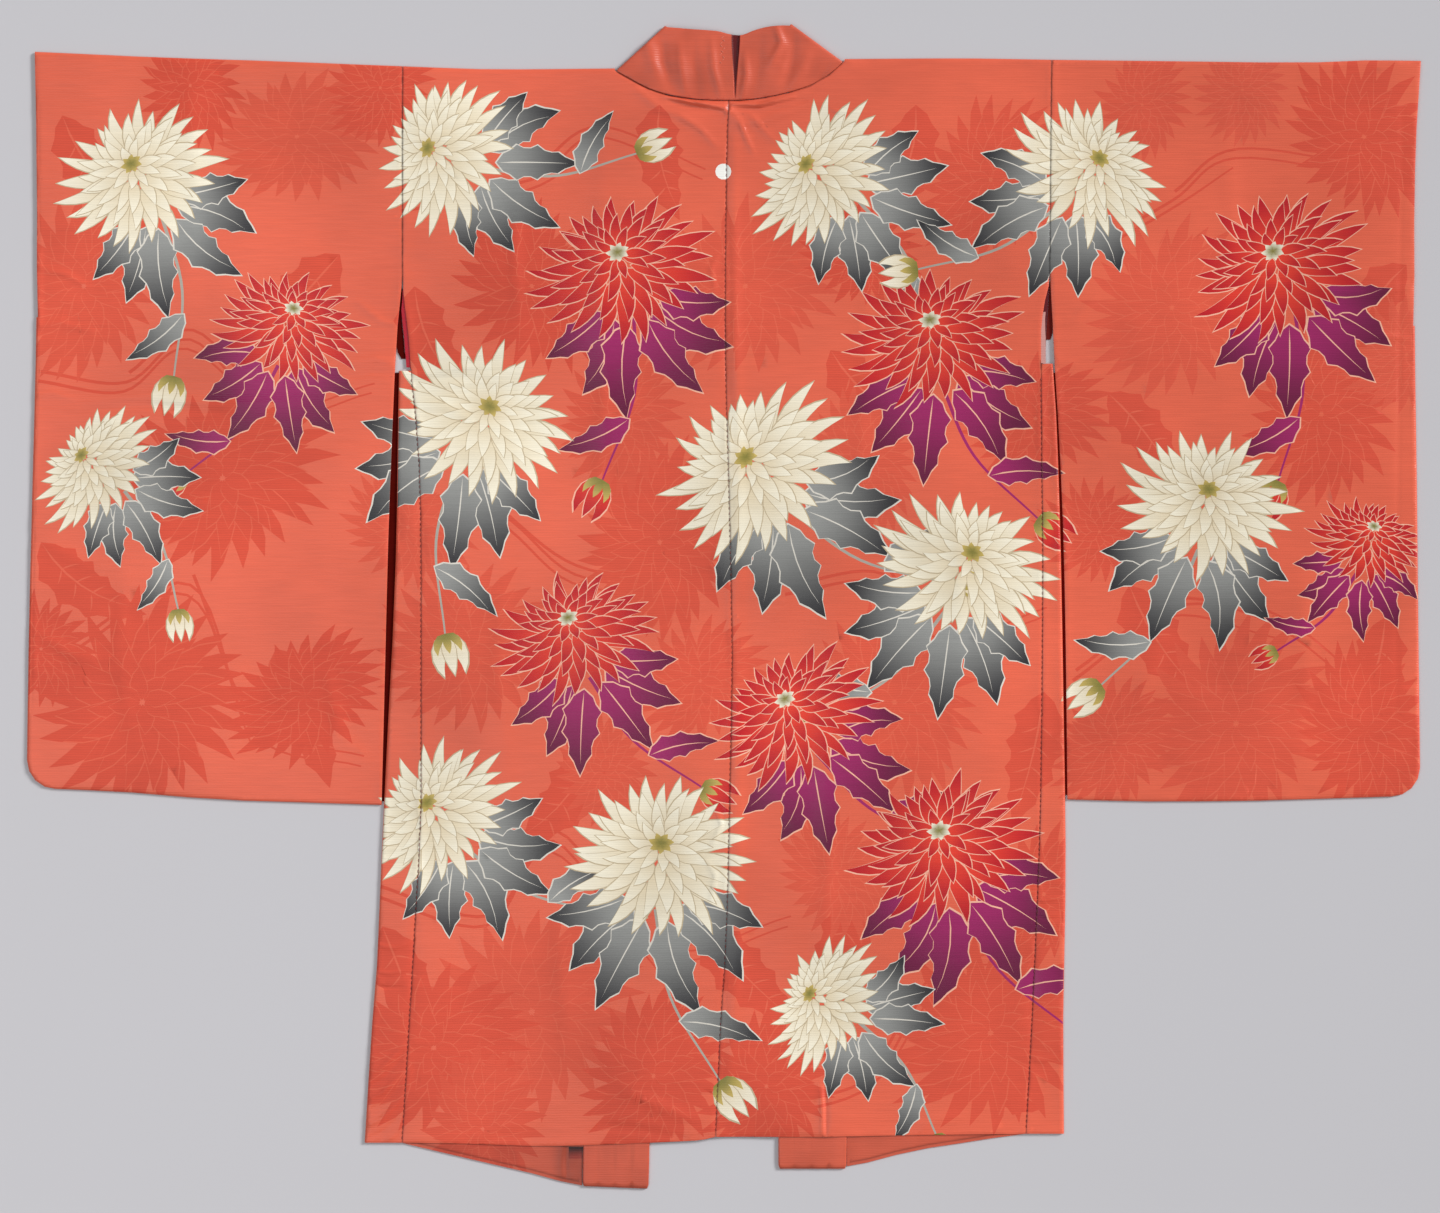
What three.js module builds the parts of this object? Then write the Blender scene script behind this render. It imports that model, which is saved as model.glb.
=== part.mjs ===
// A woman's haori jacket laid flat with its back up. Millimetres, +Z up.
// X runs across the garment, Y from the hem to the collar, Z away from the surface it lies on.
// "drop" is the distance below the shoulder line, so y = -drop until the garment is centred.
// The fronts lie on the surface, the back lies on the fronts, and each sleeve is a flat pouch.
import * as THREE from 'three';

// ---- cloth and layers ----
const CLOTH = 1.2;          // wall of the lined silk
const BAND = 2.4;           // wall of the collar band, folded lengthwise round its core
const SEAM = 0.3;           // space between two pieces at a seam
const AIR = 0.6;            // air between an upper and a lower layer
const FRONT_MID = CLOTH / 2;          // middle of the cloth that lies on the surface
const LEG_MID = BAND / 2;             // middle of the collar band that lies on the surface
const BACK_LIFT = CLOTH + AIR;        // underside of the back over the fronts
const OVER_LEG_LIFT = BAND + SEAM;    // underside of the back over the collar's legs
const VALLEY_LIFT = 1.4;              // underside of the back between the legs
const BACK_MID = BACK_LIFT + CLOTH / 2;
const POUCH_RADIUS = (BACK_MID - FRONT_MID) / 2;     // turn of the cloth at a sleeve's closed edge
const POUCH_INSET = POUCH_RADIUS + CLOTH / 2;
const TURN_STEPS = 4;                 // facets round a turned edge

// ---- garment lengths ----
const BACK_LENGTH = 1012;             // nominal, shoulder line to back hem
const SLEEVE_LENGTH = 698;            // nominal, shoulder line to sleeve bottom
const ARMHOLE_END = 198;              // sleeve sewn to the body down to here
const GUSSET_TOP = 285;
const WRIST_END = 245;                // wrist opening from the shoulder line to here
const CORNER_RADIUS = 27;             // rounded outer bottom corner of a sleeve
const CORNER_SHARE = 0.94;            // share of the sleeve's length and width where the corner starts
const FRONT_REACH = 4.6;              // the front edge shows this far outside the back at the underarm

// ---- outlines: half widths by drop, measured from the middle of the garment ----
const SIDE_SEAM = [
  { drop: -10, left: 305.8, right: 302.9 }, { drop: 80, left: 306.2, right: 301.6 },
  { drop: 204, left: 306.0, right: 300.6 }, { drop: 230, left: 303.8, right: 295.2 },
  { drop: 256, left: 300.6, right: 292.7 }, { drop: 288, left: 298.3, right: 292.7 },
  { drop: 375, left: 290.3, right: 293.3 }, { drop: 465, left: 288.4, right: 294.2 },
  { drop: 690, left: 288.4, right: 292.3 }, { drop: 790, left: 293.1, right: 288.9 },
  { drop: 900, left: 299.4, right: 284.1 }, { drop: 1020, left: 306.7, right: 277.6 },
];
const GUSSET_FOLD = [
  { drop: 280, left: 309.1, right: 303.3 }, { drop: 310, left: 309.8, right: 305.8 },
  { drop: 430, left: 311.5, right: 310.4 }, { drop: 500, left: 313.5, right: 312.0 },
  { drop: 620, left: 319.6, right: 314.0 }, { drop: 750, left: 325.9, right: 315.7 },
  { drop: 850, left: 330.2, right: 314.3 }, { drop: 900, left: 334.4, right: 313.4 },
  { drop: 1020, left: 341.9, right: 314.2 },
];
const SLEEVE_INNER = [
  { drop: 204, left: 306.3, right: 301.0 }, { drop: 225, left: 308.8, right: 302.5 },
  { drop: 277, left: 312.6, right: 305.0 }, { drop: 350, left: 315.8, right: 309.5 },
  { drop: 450, left: 319.5, right: 313.7 }, { drop: 550, left: 322.0, right: 315.8 },
  { drop: 700, left: 325.8, right: 317.5 },
];
const SLEEVE_OUTER = [
  { drop: -10, left: 650.9, right: 648.9 }, { drop: 15, left: 649.3, right: 648.1 },
  { drop: 50, left: 649.5, right: 645.1 }, { drop: 150, left: 648.6, right: 642.4 },
  { drop: 250, left: 649.5, right: 643.0 }, { drop: 400, left: 653.1, right: 645.0 },
  { drop: 550, left: 656.7, right: 646.6 }, { drop: 700, left: 658.8, right: 648.4 },
];
// drops by distance across, out from the middle
const SHOULDER = [
  { across: 100, left: 6.2, right: -2.5 }, { across: 214, left: 7.1, right: -3.2 },
  { across: 304, left: 4.2, right: -1.9 }, { across: 430, left: -0.7, right: -0.4 },
  { across: 536, left: -4.2, right: 0.8 }, { across: 602, left: -7.2, right: -1.4 },
  { across: 655, left: -9.6, right: -0.8 },
];
const SLEEVE_BOTTOM = [
  { across: 310, left: 697.4, right: 691.6 }, { across: 402, left: 694.4, right: 693.6 },
  { across: 474, left: 692.0, right: 693.2 }, { across: 569, left: 684.6, right: 690.6 },
  { across: 660, left: 680.6, right: 687.8 },
];
// drops by x, left is negative
const BACK_HEM = [
  { x: -345, drop: 1013.0 }, { x: -255, drop: 1014.0 }, { x: -177, drop: 1016.4 },
  { x: -76, drop: 1013.4 }, { x: -27, drop: 1011.0 }, { x: -12, drop: 1007.9 },
  { x: 45, drop: 1007.9 }, { x: 193, drop: 1006.0 }, { x: 320, drop: 1004.5 },
];
const FRONT_HEM = [
  { x: -308, drop: 1013.4 }, { x: -224, drop: 1033.0 }, { x: -170, drop: 1045.5 },
  { x: -138, drop: 1053.6 },
  { x: 111, drop: 1035.5 }, { x: 176, drop: 1020.4 }, { x: 217, drop: 1014.0 },
  { x: 253, drop: 1008.3 }, { x: 278, drop: 1005.1 },
];
const NECKLINE = [
  { x: -107, drop: 7.95 }, { x: -66.6, drop: 29.1 }, { x: -43.1, drop: 33.9 },
  { x: -21.6, drop: 36.0 }, { x: 8, drop: 36.2 }, { x: 34.5, drop: 33.7 },
  { x: 62.6, drop: 27.5 }, { x: 81.2, drop: 20.6 }, { x: 96.8, drop: 10.3 },
  { x: 108.4, drop: -0.55 },
];
const COLLAR_TOP = [
  { x: -58.8, drop: -32.4 }, { x: -33.9, drop: -30.1 }, { x: -12.2, drop: -28.9 },
  { x: 1.9, drop: -25.4 }, { x: 10.3, drop: -24.7 }, { x: 28.1, drop: -31.0 },
  { x: 43.9, drop: -33.5 }, { x: 57.9, drop: -34.0 },
];
const CENTRE_SEAM = [
  { drop: 30, x: 0 }, { drop: 105, x: -2.3 }, { drop: 240, x: -3.4 }, { drop: 430, x: 0.8 },
  { drop: 560, x: 3.2 }, { drop: 680, x: 0.9 }, { drop: 820, x: -2.3 }, { drop: 890, x: -7.1 },
  { drop: 1010, x: -12.6 },
];

// ---- collar band: its legs lie under the back, and turn over at both sides of the neck ----
const COLLAR = {
  left: {
    neckX: -107.0, seamHemX: -137.9, edgeTopX: -58.3, edgeHemX: -75.2,
    seamHemDrop: 1054.1, edgeHemDrop: 1056.6, turnInset: 3.2, turnTopDrop: -32.0,
  },
  right: {
    neckX: 108.4, seamHemX: 110.7, edgeTopX: 56.9, edgeHemX: 46.1,
    seamHemDrop: 1037.8, edgeHemDrop: 1037.8, turnInset: 3.2, turnTopDrop: -33.5,
  },
};
// lines across a leg, from its hem end to the turn: drop at the seam and at the free edge
const LEG_LINES = [
  { seam: 830, edge: 830 }, { seam: 560, edge: 560 }, { seam: 330, edge: 325 },
  { seam: 170, edge: 155 }, { seam: 90, edge: 64 }, { seam: 46, edge: 12 },
  { seam: 23, edge: -15 },
];
const BAND_ROWS = [0, 0.25, 0.5, 0.75, 1];    // 0 at the seam, 1 at the free edge
// the pleat at the centre of the neck opens from the seam to the free edge
const PLEAT = [
  { seamX: 4.9, edgeX: 2.6, cut: 0 }, { seamX: 5.3, edgeX: 3.5, cut: 1.5 },
  { seamX: 5.9, edgeX: 9.4, cut: 1.5 }, { seamX: 6.3, edgeX: 10.3, cut: 0 },
];

// ---- where the grid lines of the cloth run ----
const BACK_ROWS = [0, 6, 12, 20, 34, 60, 100, 150, ARMHOLE_END, 212, 226, 240, 254, 269, GUSSET_TOP,
  330, 375, 420, 465, 540, 615, 690, 740, 790, 845, 900, 956, BACK_LENGTH];
const FRONT_ROWS = BACK_ROWS.filter((drop) => drop === 0 || drop >= 60);
const SLEEVE_ROWS = [0, 60, 100, 150, ARMHOLE_END, WRIST_END, 290, 340, 390, 445, 500, 555, 610,
  CORNER_SHARE * SLEEVE_LENGTH, 677, SLEEVE_LENGTH];
const SLEEVE_COLUMNS = [0, 0.1, 0.24, 0.4, 0.56, 0.72, 0.85, CORNER_SHARE, 0.97, 1];
// side seam to leg: share of the way, underside of the back there
const SIDE_COLUMNS = [
  { share: 0, lift: BACK_LIFT }, { share: 0.18, lift: BACK_LIFT }, { share: 0.36, lift: BACK_LIFT },
  { share: 0.54, lift: BACK_LIFT }, { share: 0.72, lift: BACK_LIFT },
  { share: 0.88, lift: BACK_LIFT + 0.3 }, { share: 1, lift: OVER_LEG_LIFT },
];
const LEG_COLUMNS = [
  { share: 0.28, lift: OVER_LEG_LIFT }, { share: 0.62, lift: OVER_LEG_LIFT },
  { share: 1, lift: OVER_LEG_LIFT },
];
const MIDDLE_COLUMNS = [
  { share: 0.4, lift: 1.9 }, { share: 0.7, lift: 1.5 }, { share: 0.84, lift: VALLEY_LIFT },
  { share: 0.92, lift: VALLEY_LIFT }, { share: 1, lift: VALLEY_LIFT },
];

// ---- soft folds in the upper layer: a ridge from one end to the other ----
const BACK_FOLDS = [
  { x1: -52, drop1: 43, x2: 2, drop2: 48, width: 7, height: 1.6 },
  { x1: 2, drop1: 48, x2: 66, drop2: 42, width: 7, height: 1.3 },
  { x1: 8, drop1: 75, x2: 5, drop2: 960, width: 6, height: 1.1 },
  { x1: -12, drop1: 710, x2: -14, drop2: 800, width: 9, height: 0.9 },
  { x1: -20, drop1: 1002, x2: -96, drop2: 962, width: 16, height: 2.0 },
  { x1: -198, drop1: 110, x2: -196, drop2: 300, width: 22, height: 1.2 },
  { x1: -112, drop1: 90, x2: -122, drop2: 420, width: 20, height: 0.8 },
  { x1: 91, drop1: 930, x2: 91, drop2: 1006, width: 14, height: 1.2 },
  { x1: -292, drop1: 300, x2: -210, drop2: 262, width: 16, height: 1.0 },
  { x1: 286, drop1: 300, x2: 205, drop2: 270, width: 16, height: 1.0 },
  { x1: 200, drop1: 120, x2: 214, drop2: 640, width: 26, height: 0.9 },
];
const SLEEVE_FOLDS = [
  { x1: -600, drop1: 330, x2: -470, drop2: 322, width: 24, height: 1.5 },
  { x1: -560, drop1: 560, x2: -390, drop2: 500, width: 30, height: 1.3 },
  { x1: -400, drop1: 90, x2: -560, drop2: 210, width: 30, height: 1.2 },
  { x1: 560, drop1: 470, x2: 400, drop2: 560, width: 30, height: 1.4 },
  { x1: 380, drop1: 120, x2: 560, drop2: 250, width: 30, height: 1.2 },
  { x1: 610, drop1: 340, x2: 500, drop2: 352, width: 22, height: 1.2 },
];

const COLLAR_FOLDS = [
  { x1: -36, drop1: -22, x2: -40, drop2: 26, width: 11, height: 0.9 },
  { x1: 40, drop1: -26, x2: 38, drop2: 20, width: 10, height: 0.7 },
];

// ---- small helpers ----
const mix = (a, b, t) => a + (b - a) * t;
const smooth = (a, b, value) => {
  const t = Math.min(Math.max((value - a) / (b - a), 0), 1);
  return t * t * (3 - 2 * t);
};

// a smooth curve through a table, with no bulge between its rows
function curve(table, from, to) {
  const last = table.length - 1;
  const steps = table.slice(1).map((row, i) => (row[to] - table[i][to]) / (row[from] - table[i][from]));
  const slopes = table.map((row, i) => {
    if (i === 0) return steps[0];
    if (i === last) return steps[last - 1];
    const [before, after] = [steps[i - 1], steps[i]];
    return before * after <= 0 ? 0 : (2 * before * after) / (before + after);
  });
  return (value) => {
    let i = 0;
    while (i < last - 1 && value > table[i + 1][from]) i += 1;
    const run = table[i + 1][from] - table[i][from];
    const t = Math.min(Math.max((value - table[i][from]) / run, 0), 1);
    const [a, b] = [table[i][to], table[i + 1][to]];
    return a * (1 + 2 * t) * (1 - t) ** 2 + b * t * t * (3 - 2 * t)
      + run * (slopes[i] * t * (1 - t) ** 2 - slopes[i + 1] * t * t * (1 - t));
  };
}

// height of the soft folds at one place
function foldHeight(folds, x, drop) {
  return folds.reduce((sum, fold) => {
    const [dx, dy] = [fold.x2 - fold.x1, fold.drop2 - fold.drop1];
    const along = ((x - fold.x1) * dx + (drop - fold.drop1) * dy) / (dx * dx + dy * dy);
    const t = Math.min(Math.max(along, 0), 1);
    const distance = Math.hypot(x - fold.x1 - t * dx, drop - fold.drop1 - t * dy);
    return sum + fold.height * Math.exp(-((distance / fold.width) ** 2));
  }, 0);
}

// Cloth is laid out as the middle of its wall, then given its thickness on both faces.
class Cloth {
  constructor() {
    this.knots = [];
    this.cells = [];
  }

  // place a knot: its position, the way its outer face looks, and the wall on each side of it
  knot(x, drop, z, facing, outer, inner = outer) {
    this.knots.push({ at: new THREE.Vector3(x, -drop, z), facing, outer, inner });
    return this.knots.length - 1;
  }

  // join each line of knots to the next; a shorter line is joined as far as it runs
  sheet(lines) {
    for (let i = 0; i + 1 < lines.length; i += 1) {
      const [a, b] = [lines[i], lines[i + 1]];
      const run = Math.min(a.length, b.length) - 1;
      for (let k = 0; k < run; k += 1) this.cell([a[k], a[k + 1], b[k + 1], b[k]]);
    }
  }

  // a cell is turned so that it looks the way its knots face
  cell(corners) {
    const [a, b, c, d] = corners.map((index) => this.knots[index].at);
    const normal = c.clone().sub(a).cross(d.clone().sub(b));
    const facing = corners.reduce((sum, index) => sum.add(this.knots[index].facing), new THREE.Vector3());
    this.cells.push(normal.dot(facing) > 0 ? corners : [...corners].reverse());
  }

  wall() {
    const count = this.knots.length;
    const points = [
      ...this.knots.map((knot) => knot.at.clone().addScaledVector(knot.facing, knot.outer)),
      ...this.knots.map((knot) => knot.at.clone().addScaledVector(knot.facing, -knot.inner)),
    ];
    const faces = [];
    const open = new Map();
    for (const [a, b, c, d] of this.cells) {
      const short = points[a].distanceTo(points[c]) <= points[b].distanceTo(points[d]);
      const halves = short ? [[a, b, c], [a, c, d]] : [[a, b, d], [b, c, d]];
      for (const [p, q, r] of halves) faces.push([p, q, r], [r + count, q + count, p + count]);
      for (const [p, q] of [[a, b], [b, c], [c, d], [d, a]]) {
        if (!open.delete(`${q},${p}`)) open.set(`${p},${q}`, [p, q]);
      }
    }
    for (const [p, q] of open.values()) faces.push([q, p, p + count], [q, p + count, q + count]);
    return { points, faces };
  }
}

const UP = new THREE.Vector3(0, 0, 1);
const DOWN = new THREE.Vector3(0, 0, -1);

// knots round a half turn from the upper layer to the lower, leaving out both ends
function turn(cloth, x, drop, upperMid, lowerMid, outward, wall) {
  const radius = (upperMid - lowerMid) / 2;
  const knots = [];
  for (let step = 1; step < TURN_STEPS; step += 1) {
    const angle = Math.PI * (0.5 - step / TURN_STEPS);
    const facing = new THREE.Vector3(
      outward.x * Math.cos(angle), outward.y * Math.cos(angle), Math.sin(angle));
    knots.push(cloth.knot(x + facing.x * radius, drop - facing.y * radius,
      lowerMid + radius + facing.z * radius, facing, wall / 2));
  }
  return knots;
}

// ---- curves of the garment ----
const bothSides = (table, from) => ({
  left: curve(table, from, 'left'), right: curve(table, from, 'right'),
});
const sideSeam = bothSides(SIDE_SEAM, 'drop');
const gussetFold = bothSides(GUSSET_FOLD, 'drop');
const sleeveInner = bothSides(SLEEVE_INNER, 'drop');
const sleeveOuter = bothSides(SLEEVE_OUTER, 'drop');
const shoulder = bothSides(SHOULDER, 'across');
const sleeveBottom = bothSides(SLEEVE_BOTTOM, 'across');
const backHem = curve(BACK_HEM, 'x', 'drop');
const frontHem = curve(FRONT_HEM, 'x', 'drop');
const neckline = curve(NECKLINE, 'x', 'drop');
const collarTop = curve(COLLAR_TOP, 'x', 'drop');
const centreSeam = curve(CENTRE_SEAM, 'drop', 'x');
const signOf = { left: -1, right: 1 };

// the collar's seam and its free edge run straight from the neck to the hem
function legSeamX(side, drop) {
  const leg = COLLAR[side];
  const neckDrop = neckline(leg.neckX);
  return mix(leg.neckX, leg.seamHemX, (drop - neckDrop) / (leg.seamHemDrop - neckDrop));
}
function legEdgeX(side, drop) {
  const leg = COLLAR[side];
  const share = (drop - leg.turnTopDrop) / (leg.edgeHemDrop - leg.turnTopDrop);
  return mix(leg.edgeTopX, leg.edgeHemX, share);
}

// the back's columns from the side seam to the centre seam
function backColumns(side) {
  const sign = signOf[side];
  const edges = {
    side: (drop) => sign * (sideSeam[side](drop) - SEAM / 2),
    legSeam: (drop) => legSeamX(side, drop),
    legEdge: (drop) => legEdgeX(side, drop) - sign * SEAM,
    centre: (drop) => centreSeam(drop) + sign * SEAM / 2,
  };
  const span = (columns, from, to) => columns.map(({ share, lift }) => ({
    lift, share, x: (drop) => mix(from(drop), to(drop), share),
  }));
  return [
    ...span(SIDE_COLUMNS, edges.side, edges.legSeam).map((column) => {
      const top = shoulder[side](Math.abs(column.x(0))) + (column.lift + CLOTH) / 2;
      return { ...column, top, folded: true };
    }),
    ...[...span(LEG_COLUMNS, edges.legSeam, edges.legEdge),
      ...span(MIDDLE_COLUMNS, edges.legEdge, edges.centre)].map((column) => {
      const top = neckline(column.x(neckline(column.x(0))));
      return { ...column, top, folded: false };
    }),
  ];
}

// ---- body: back and front in one length, folded at the shoulder ----
function body(side) {
  const cloth = new Cloth();
  const sign = signOf[side];
  cloth.sheet(backColumns(side).map(({ x, top, lift, share, folded }, index) => {
    const backMid = lift + CLOTH / 2;
    const atSleeve = index === 0;
    const back = BACK_ROWS.map((row) => {
      const drop = mix(top, backHem(x(BACK_LENGTH)), row / BACK_LENGTH);
      const raised = atSleeve ? 0 : smooth(0, 8, row) * foldHeight(BACK_FOLDS, x(drop), drop);
      return cloth.knot(x(drop), drop, backMid + raised, UP, CLOTH / 2);
    }).reverse();
    if (!folded) return back;
    const front = FRONT_ROWS.map((row) => {
      const drop = mix(top, frontHem(x(BACK_LENGTH)), row / BACK_LENGTH);
      const shown = smooth(ARMHOLE_END + 8, ARMHOLE_END + 40, row) * smooth(GUSSET_TOP, GUSSET_TOP - 16, row);
      const reach = sign * shown * FRONT_REACH * (1 - share);
      return cloth.knot(x(drop) + reach, drop, FRONT_MID, DOWN, CLOTH / 2);
    });
    return [...back, ...turn(cloth, x(top), top, backMid, FRONT_MID, { x: 0, y: 1 }, CLOTH), ...front];
  }));
  return cloth.wall();
}

// drop of the side seam at a nominal row, shared by the body, the sleeve and the gusset
function sideDrop(side, row) {
  const { x, top } = backColumns(side)[0];
  return mix(top, backHem(x(BACK_LENGTH)), row / BACK_LENGTH);
}

// ---- sleeve: a pouch open at the wrist and along the body side ----
function sleeve(side) {
  const cloth = new Cloth();
  const sign = signOf[side];
  const length = SLEEVE_LENGTH;
  const startTop = sideDrop(side, 0);
  const corner = { drop: sleeveBottom[side](sleeveOuter[side](length) - CORNER_RADIUS) - CORNER_RADIUS };
  corner.x = sleeveOuter[side](corner.drop) - CORNER_RADIUS;
  const round = (angle) => ({
    x: corner.x + (CORNER_RADIUS - POUCH_INSET) * Math.cos(angle),
    drop: corner.drop + (CORNER_RADIUS - POUCH_INSET) * Math.sin(angle),
  });
  const bottomAt = (x) => sleeveBottom[side](x) - POUCH_INSET;

  const innerEdge = (row) => {
    if (row <= ARMHOLE_END) {
      const drop = sideDrop(side, row);
      return { x: sideSeam[side](drop) + SEAM / 2, drop };
    }
    const sewnEnd = sideDrop(side, ARMHOLE_END);
    const share = (row - ARMHOLE_END) / (length - ARMHOLE_END);
    const drop = mix(sewnEnd, bottomAt(sleeveInner[side](length)), share);
    return { x: sleeveInner[side](drop), drop };
  };
  const outerTop = { x: sleeveOuter[side](shoulder[side](650)) };
  outerTop.drop = shoulder[side](outerTop.x) + POUCH_INSET;
  const outerEdge = (row) => {
    const share = row / length;
    if (share > CORNER_SHARE) return round((Math.PI / 4) * (share - CORNER_SHARE) / (1 - CORNER_SHARE));
    const drop = mix(outerTop.drop, corner.drop, share / CORNER_SHARE);
    return { x: sleeveOuter[side](drop) - (row < WRIST_END ? 0 : POUCH_INSET), drop };
  };
  const topEdge = (share) => {
    const x = mix(innerEdge(0).x, outerTop.x, share);
    return { x, drop: share === 0 ? startTop : shoulder[side](x) + POUCH_INSET };
  };
  const bottomEdge = (share) => {
    if (share > CORNER_SHARE) {
      return round((Math.PI / 4) * (2 - (share - CORNER_SHARE) / (1 - CORNER_SHARE)));
    }
    const x = mix(innerEdge(length).x, corner.x, share / CORNER_SHARE);
    return { x, drop: share === CORNER_SHARE ? round(Math.PI / 2).drop : bottomAt(x) };
  };

  // fill the outline between its four edges
  const spot = (s, row) => {
    const t = row / length;
    const blend = (key) => mix(innerEdge(row)[key], outerEdge(row)[key], s)
      + mix(topEdge(s)[key], bottomEdge(s)[key], t)
      - mix(mix(topEdge(0)[key], topEdge(1)[key], s), mix(bottomEdge(0)[key], bottomEdge(1)[key], s), t);
    const [x, drop] = [sign * blend('x'), blend('drop')];
    const inside = smooth(0, 0.1, s) * smooth(0, 0.1, 1 - s) * smooth(0, 0.08, t) * smooth(0, 0.08, 1 - t);
    return { x, drop, upper: BACK_MID + inside * foldHeight(SLEEVE_FOLDS, x, drop) };
  };
  const grid = SLEEVE_COLUMNS.map((s) => SLEEVE_ROWS.map((row) => spot(s, row)));
  const lower = grid.map((line) => line.map((p) => cloth.knot(p.x, p.drop, FRONT_MID, DOWN, CLOTH / 2)));
  const upper = grid.map((line) => line.map((p) => cloth.knot(p.x, p.drop, p.upper, UP, CLOTH / 2)));
  const closeEdge = (p, outward) => turn(cloth, p.x, p.drop, BACK_MID, FRONT_MID, outward, CLOTH);

  // outward direction square to a closed edge, from the spots before and after
  const square = (before, after, x, y) => {
    const across = new THREE.Vector3(before.drop - after.drop, before.x - after.x, 0).normalize();
    return across.x * x + across.y * y < 0 ? across.negate() : across;
  };
  const lastColumn = SLEEVE_COLUMNS.length - 1;
  const lastRow = SLEEVE_ROWS.length - 1;
  const rings = grid.map((line, i) => {
    const before = (grid[i - 1] ?? line)[lastRow];
    const after = i === lastColumn ? line[lastRow - 1] : grid[i + 1][lastRow];
    const outward = square(before, after, i === lastColumn ? sign : 0, -1);
    const bottomTurn = closeEdge(line[lastRow], outward);
    const topTurn = closeEdge(line[0], { x: 0, y: 1 });
    return { bottomTurn, topTurn };
  });
  cloth.sheet(rings.map(({ bottomTurn, topTurn }, i) => [
    ...upper[i], ...bottomTurn, ...[...lower[i]].reverse(), ...[...topTurn].reverse(), upper[i][0],
  ]));
  const firstClosed = SLEEVE_ROWS.indexOf(WRIST_END);
  const edge = grid[lastColumn];
  const closed = SLEEVE_ROWS.map((row, j) => j).slice(firstClosed);
  cloth.sheet(closed.map((j) => {
    if (j === lastRow) return [upper[lastColumn][j], ...rings[lastColumn].bottomTurn, lower[lastColumn][j]];
    const before = edge[j === firstClosed ? j : j - 1];
    return [upper[lastColumn][j], ...closeEdge(edge[j], square(before, edge[j + 1], sign, 0)),
      lower[lastColumn][j]];
  }));
  return cloth.wall();
}

// ---- gusset: a narrow panel folded lengthwise between back and front below the underarm ----
function gusset(side) {
  const cloth = new Cloth();
  const sign = signOf[side];
  const rows = BACK_ROWS.filter((row) => row >= GUSSET_TOP);
  cloth.sheet(rows.map((row) => {
    const drop = sideDrop(side, row) + (row === GUSSET_TOP ? SEAM : 0);
    const seamX = sideSeam[side](drop) + SEAM / 2;
    const foldX = gussetFold[side](drop) - POUCH_INSET;
    const layer = (mid, facing) => [0, 0.5, 1].map((share) => (
      cloth.knot(sign * mix(seamX, foldX, share), drop, mid, facing, CLOTH / 2)));
    const upper = layer(BACK_MID, UP);
    const round = turn(cloth, sign * foldX, drop, BACK_MID, FRONT_MID, { x: sign, y: 0 }, CLOTH);
    return [...upper, ...round, ...layer(FRONT_MID, DOWN).reverse()];
  }));
  return cloth.wall();
}

// ---- collar: one band from hem to hem, turned over at both sides of the neck ----
function collar() {
  const cloth = new Cloth();
  const line = (seam, edge, mid, facing, cut = 0) => BAND_ROWS.map((share) => {
    const [x, drop] = [mix(seam.x, edge.x, share), mix(seam.drop, edge.drop, share)];
    const raised = facing === UP ? foldHeight(COLLAR_FOLDS, x, drop) * smooth(0, 0.25, share) : 0;
    const outer = BAND / 2 - cut * smooth(0, 0.4, share);
    return cloth.knot(x, drop, mid + raised, facing, outer, BAND / 2);
  });

  const halves = ['left', 'right'].map((side) => {
    const sign = signOf[side];
    const leg = COLLAR[side];
    const legLine = (seamDrop, edgeDrop) => line(
      { x: legSeamX(side, seamDrop) - sign * SEAM, drop: seamDrop },
      { x: legEdgeX(side, edgeDrop), drop: edgeDrop }, LEG_MID, DOWN);
    const [corner, next] = backColumns(side).slice(SIDE_COLUMNS.length - 1);
    const turnX = leg.neckX - sign * leg.turnInset;
    const alongNeck = (turnX - corner.x(corner.top)) / (next.x(next.top) - corner.x(corner.top));
    const seam = { x: turnX, drop: mix(corner.top, next.top, alongNeck) - SEAM };
    const edge = { x: leg.edgeTopX, drop: leg.turnTopDrop };
    const outward = new THREE.Vector3(sign * (seam.drop - edge.drop), Math.abs(edge.x - seam.x), 0).normalize();
    const neckMid = OVER_LEG_LIFT + BAND / 2;
    const turned = BAND_ROWS.map((share) => turn(cloth, mix(seam.x, edge.x, share),
      mix(seam.drop, edge.drop, share), neckMid, LEG_MID, outward, BAND).reverse());
    const pleatLip = side === 'left' ? PLEAT[0] : PLEAT[PLEAT.length - 1];
    const neckLines = backColumns(side).filter(({ x, top, folded }) => (
      !folded && sign * (x(top) - pleatLip.seamX) > 1)).map(({ x, top, lift }) => {
      const share = (x(top) - turnX) / (pleatLip.seamX - turnX);
      const edgeX = mix(edge.x, pleatLip.edgeX, share);
      return line({ x: x(top), drop: top - SEAM }, { x: edgeX, drop: collarTop(edgeX) }, lift + BAND / 2, UP);
    });
    return [
      legLine(leg.seamHemDrop, leg.edgeHemDrop),
      ...LEG_LINES.map((row) => legLine(row.seam, row.edge)),
      line(seam, edge, LEG_MID, DOWN),
      ...turned[0].map((knot, step) => turned.map((round) => round[step])),
      line(seam, edge, neckMid, UP),
      ...neckLines,
    ];
  });
  const pleat = PLEAT.map(({ seamX, edgeX, cut }) => line(
    { x: seamX, drop: neckline(seamX) - SEAM }, { x: edgeX, drop: collarTop(edgeX) },
    VALLEY_LIFT + BAND / 2, UP, cut));
  cloth.sheet([...halves[0], ...pleat, ...halves[1].reverse()]);
  return cloth.wall();
}

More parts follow.
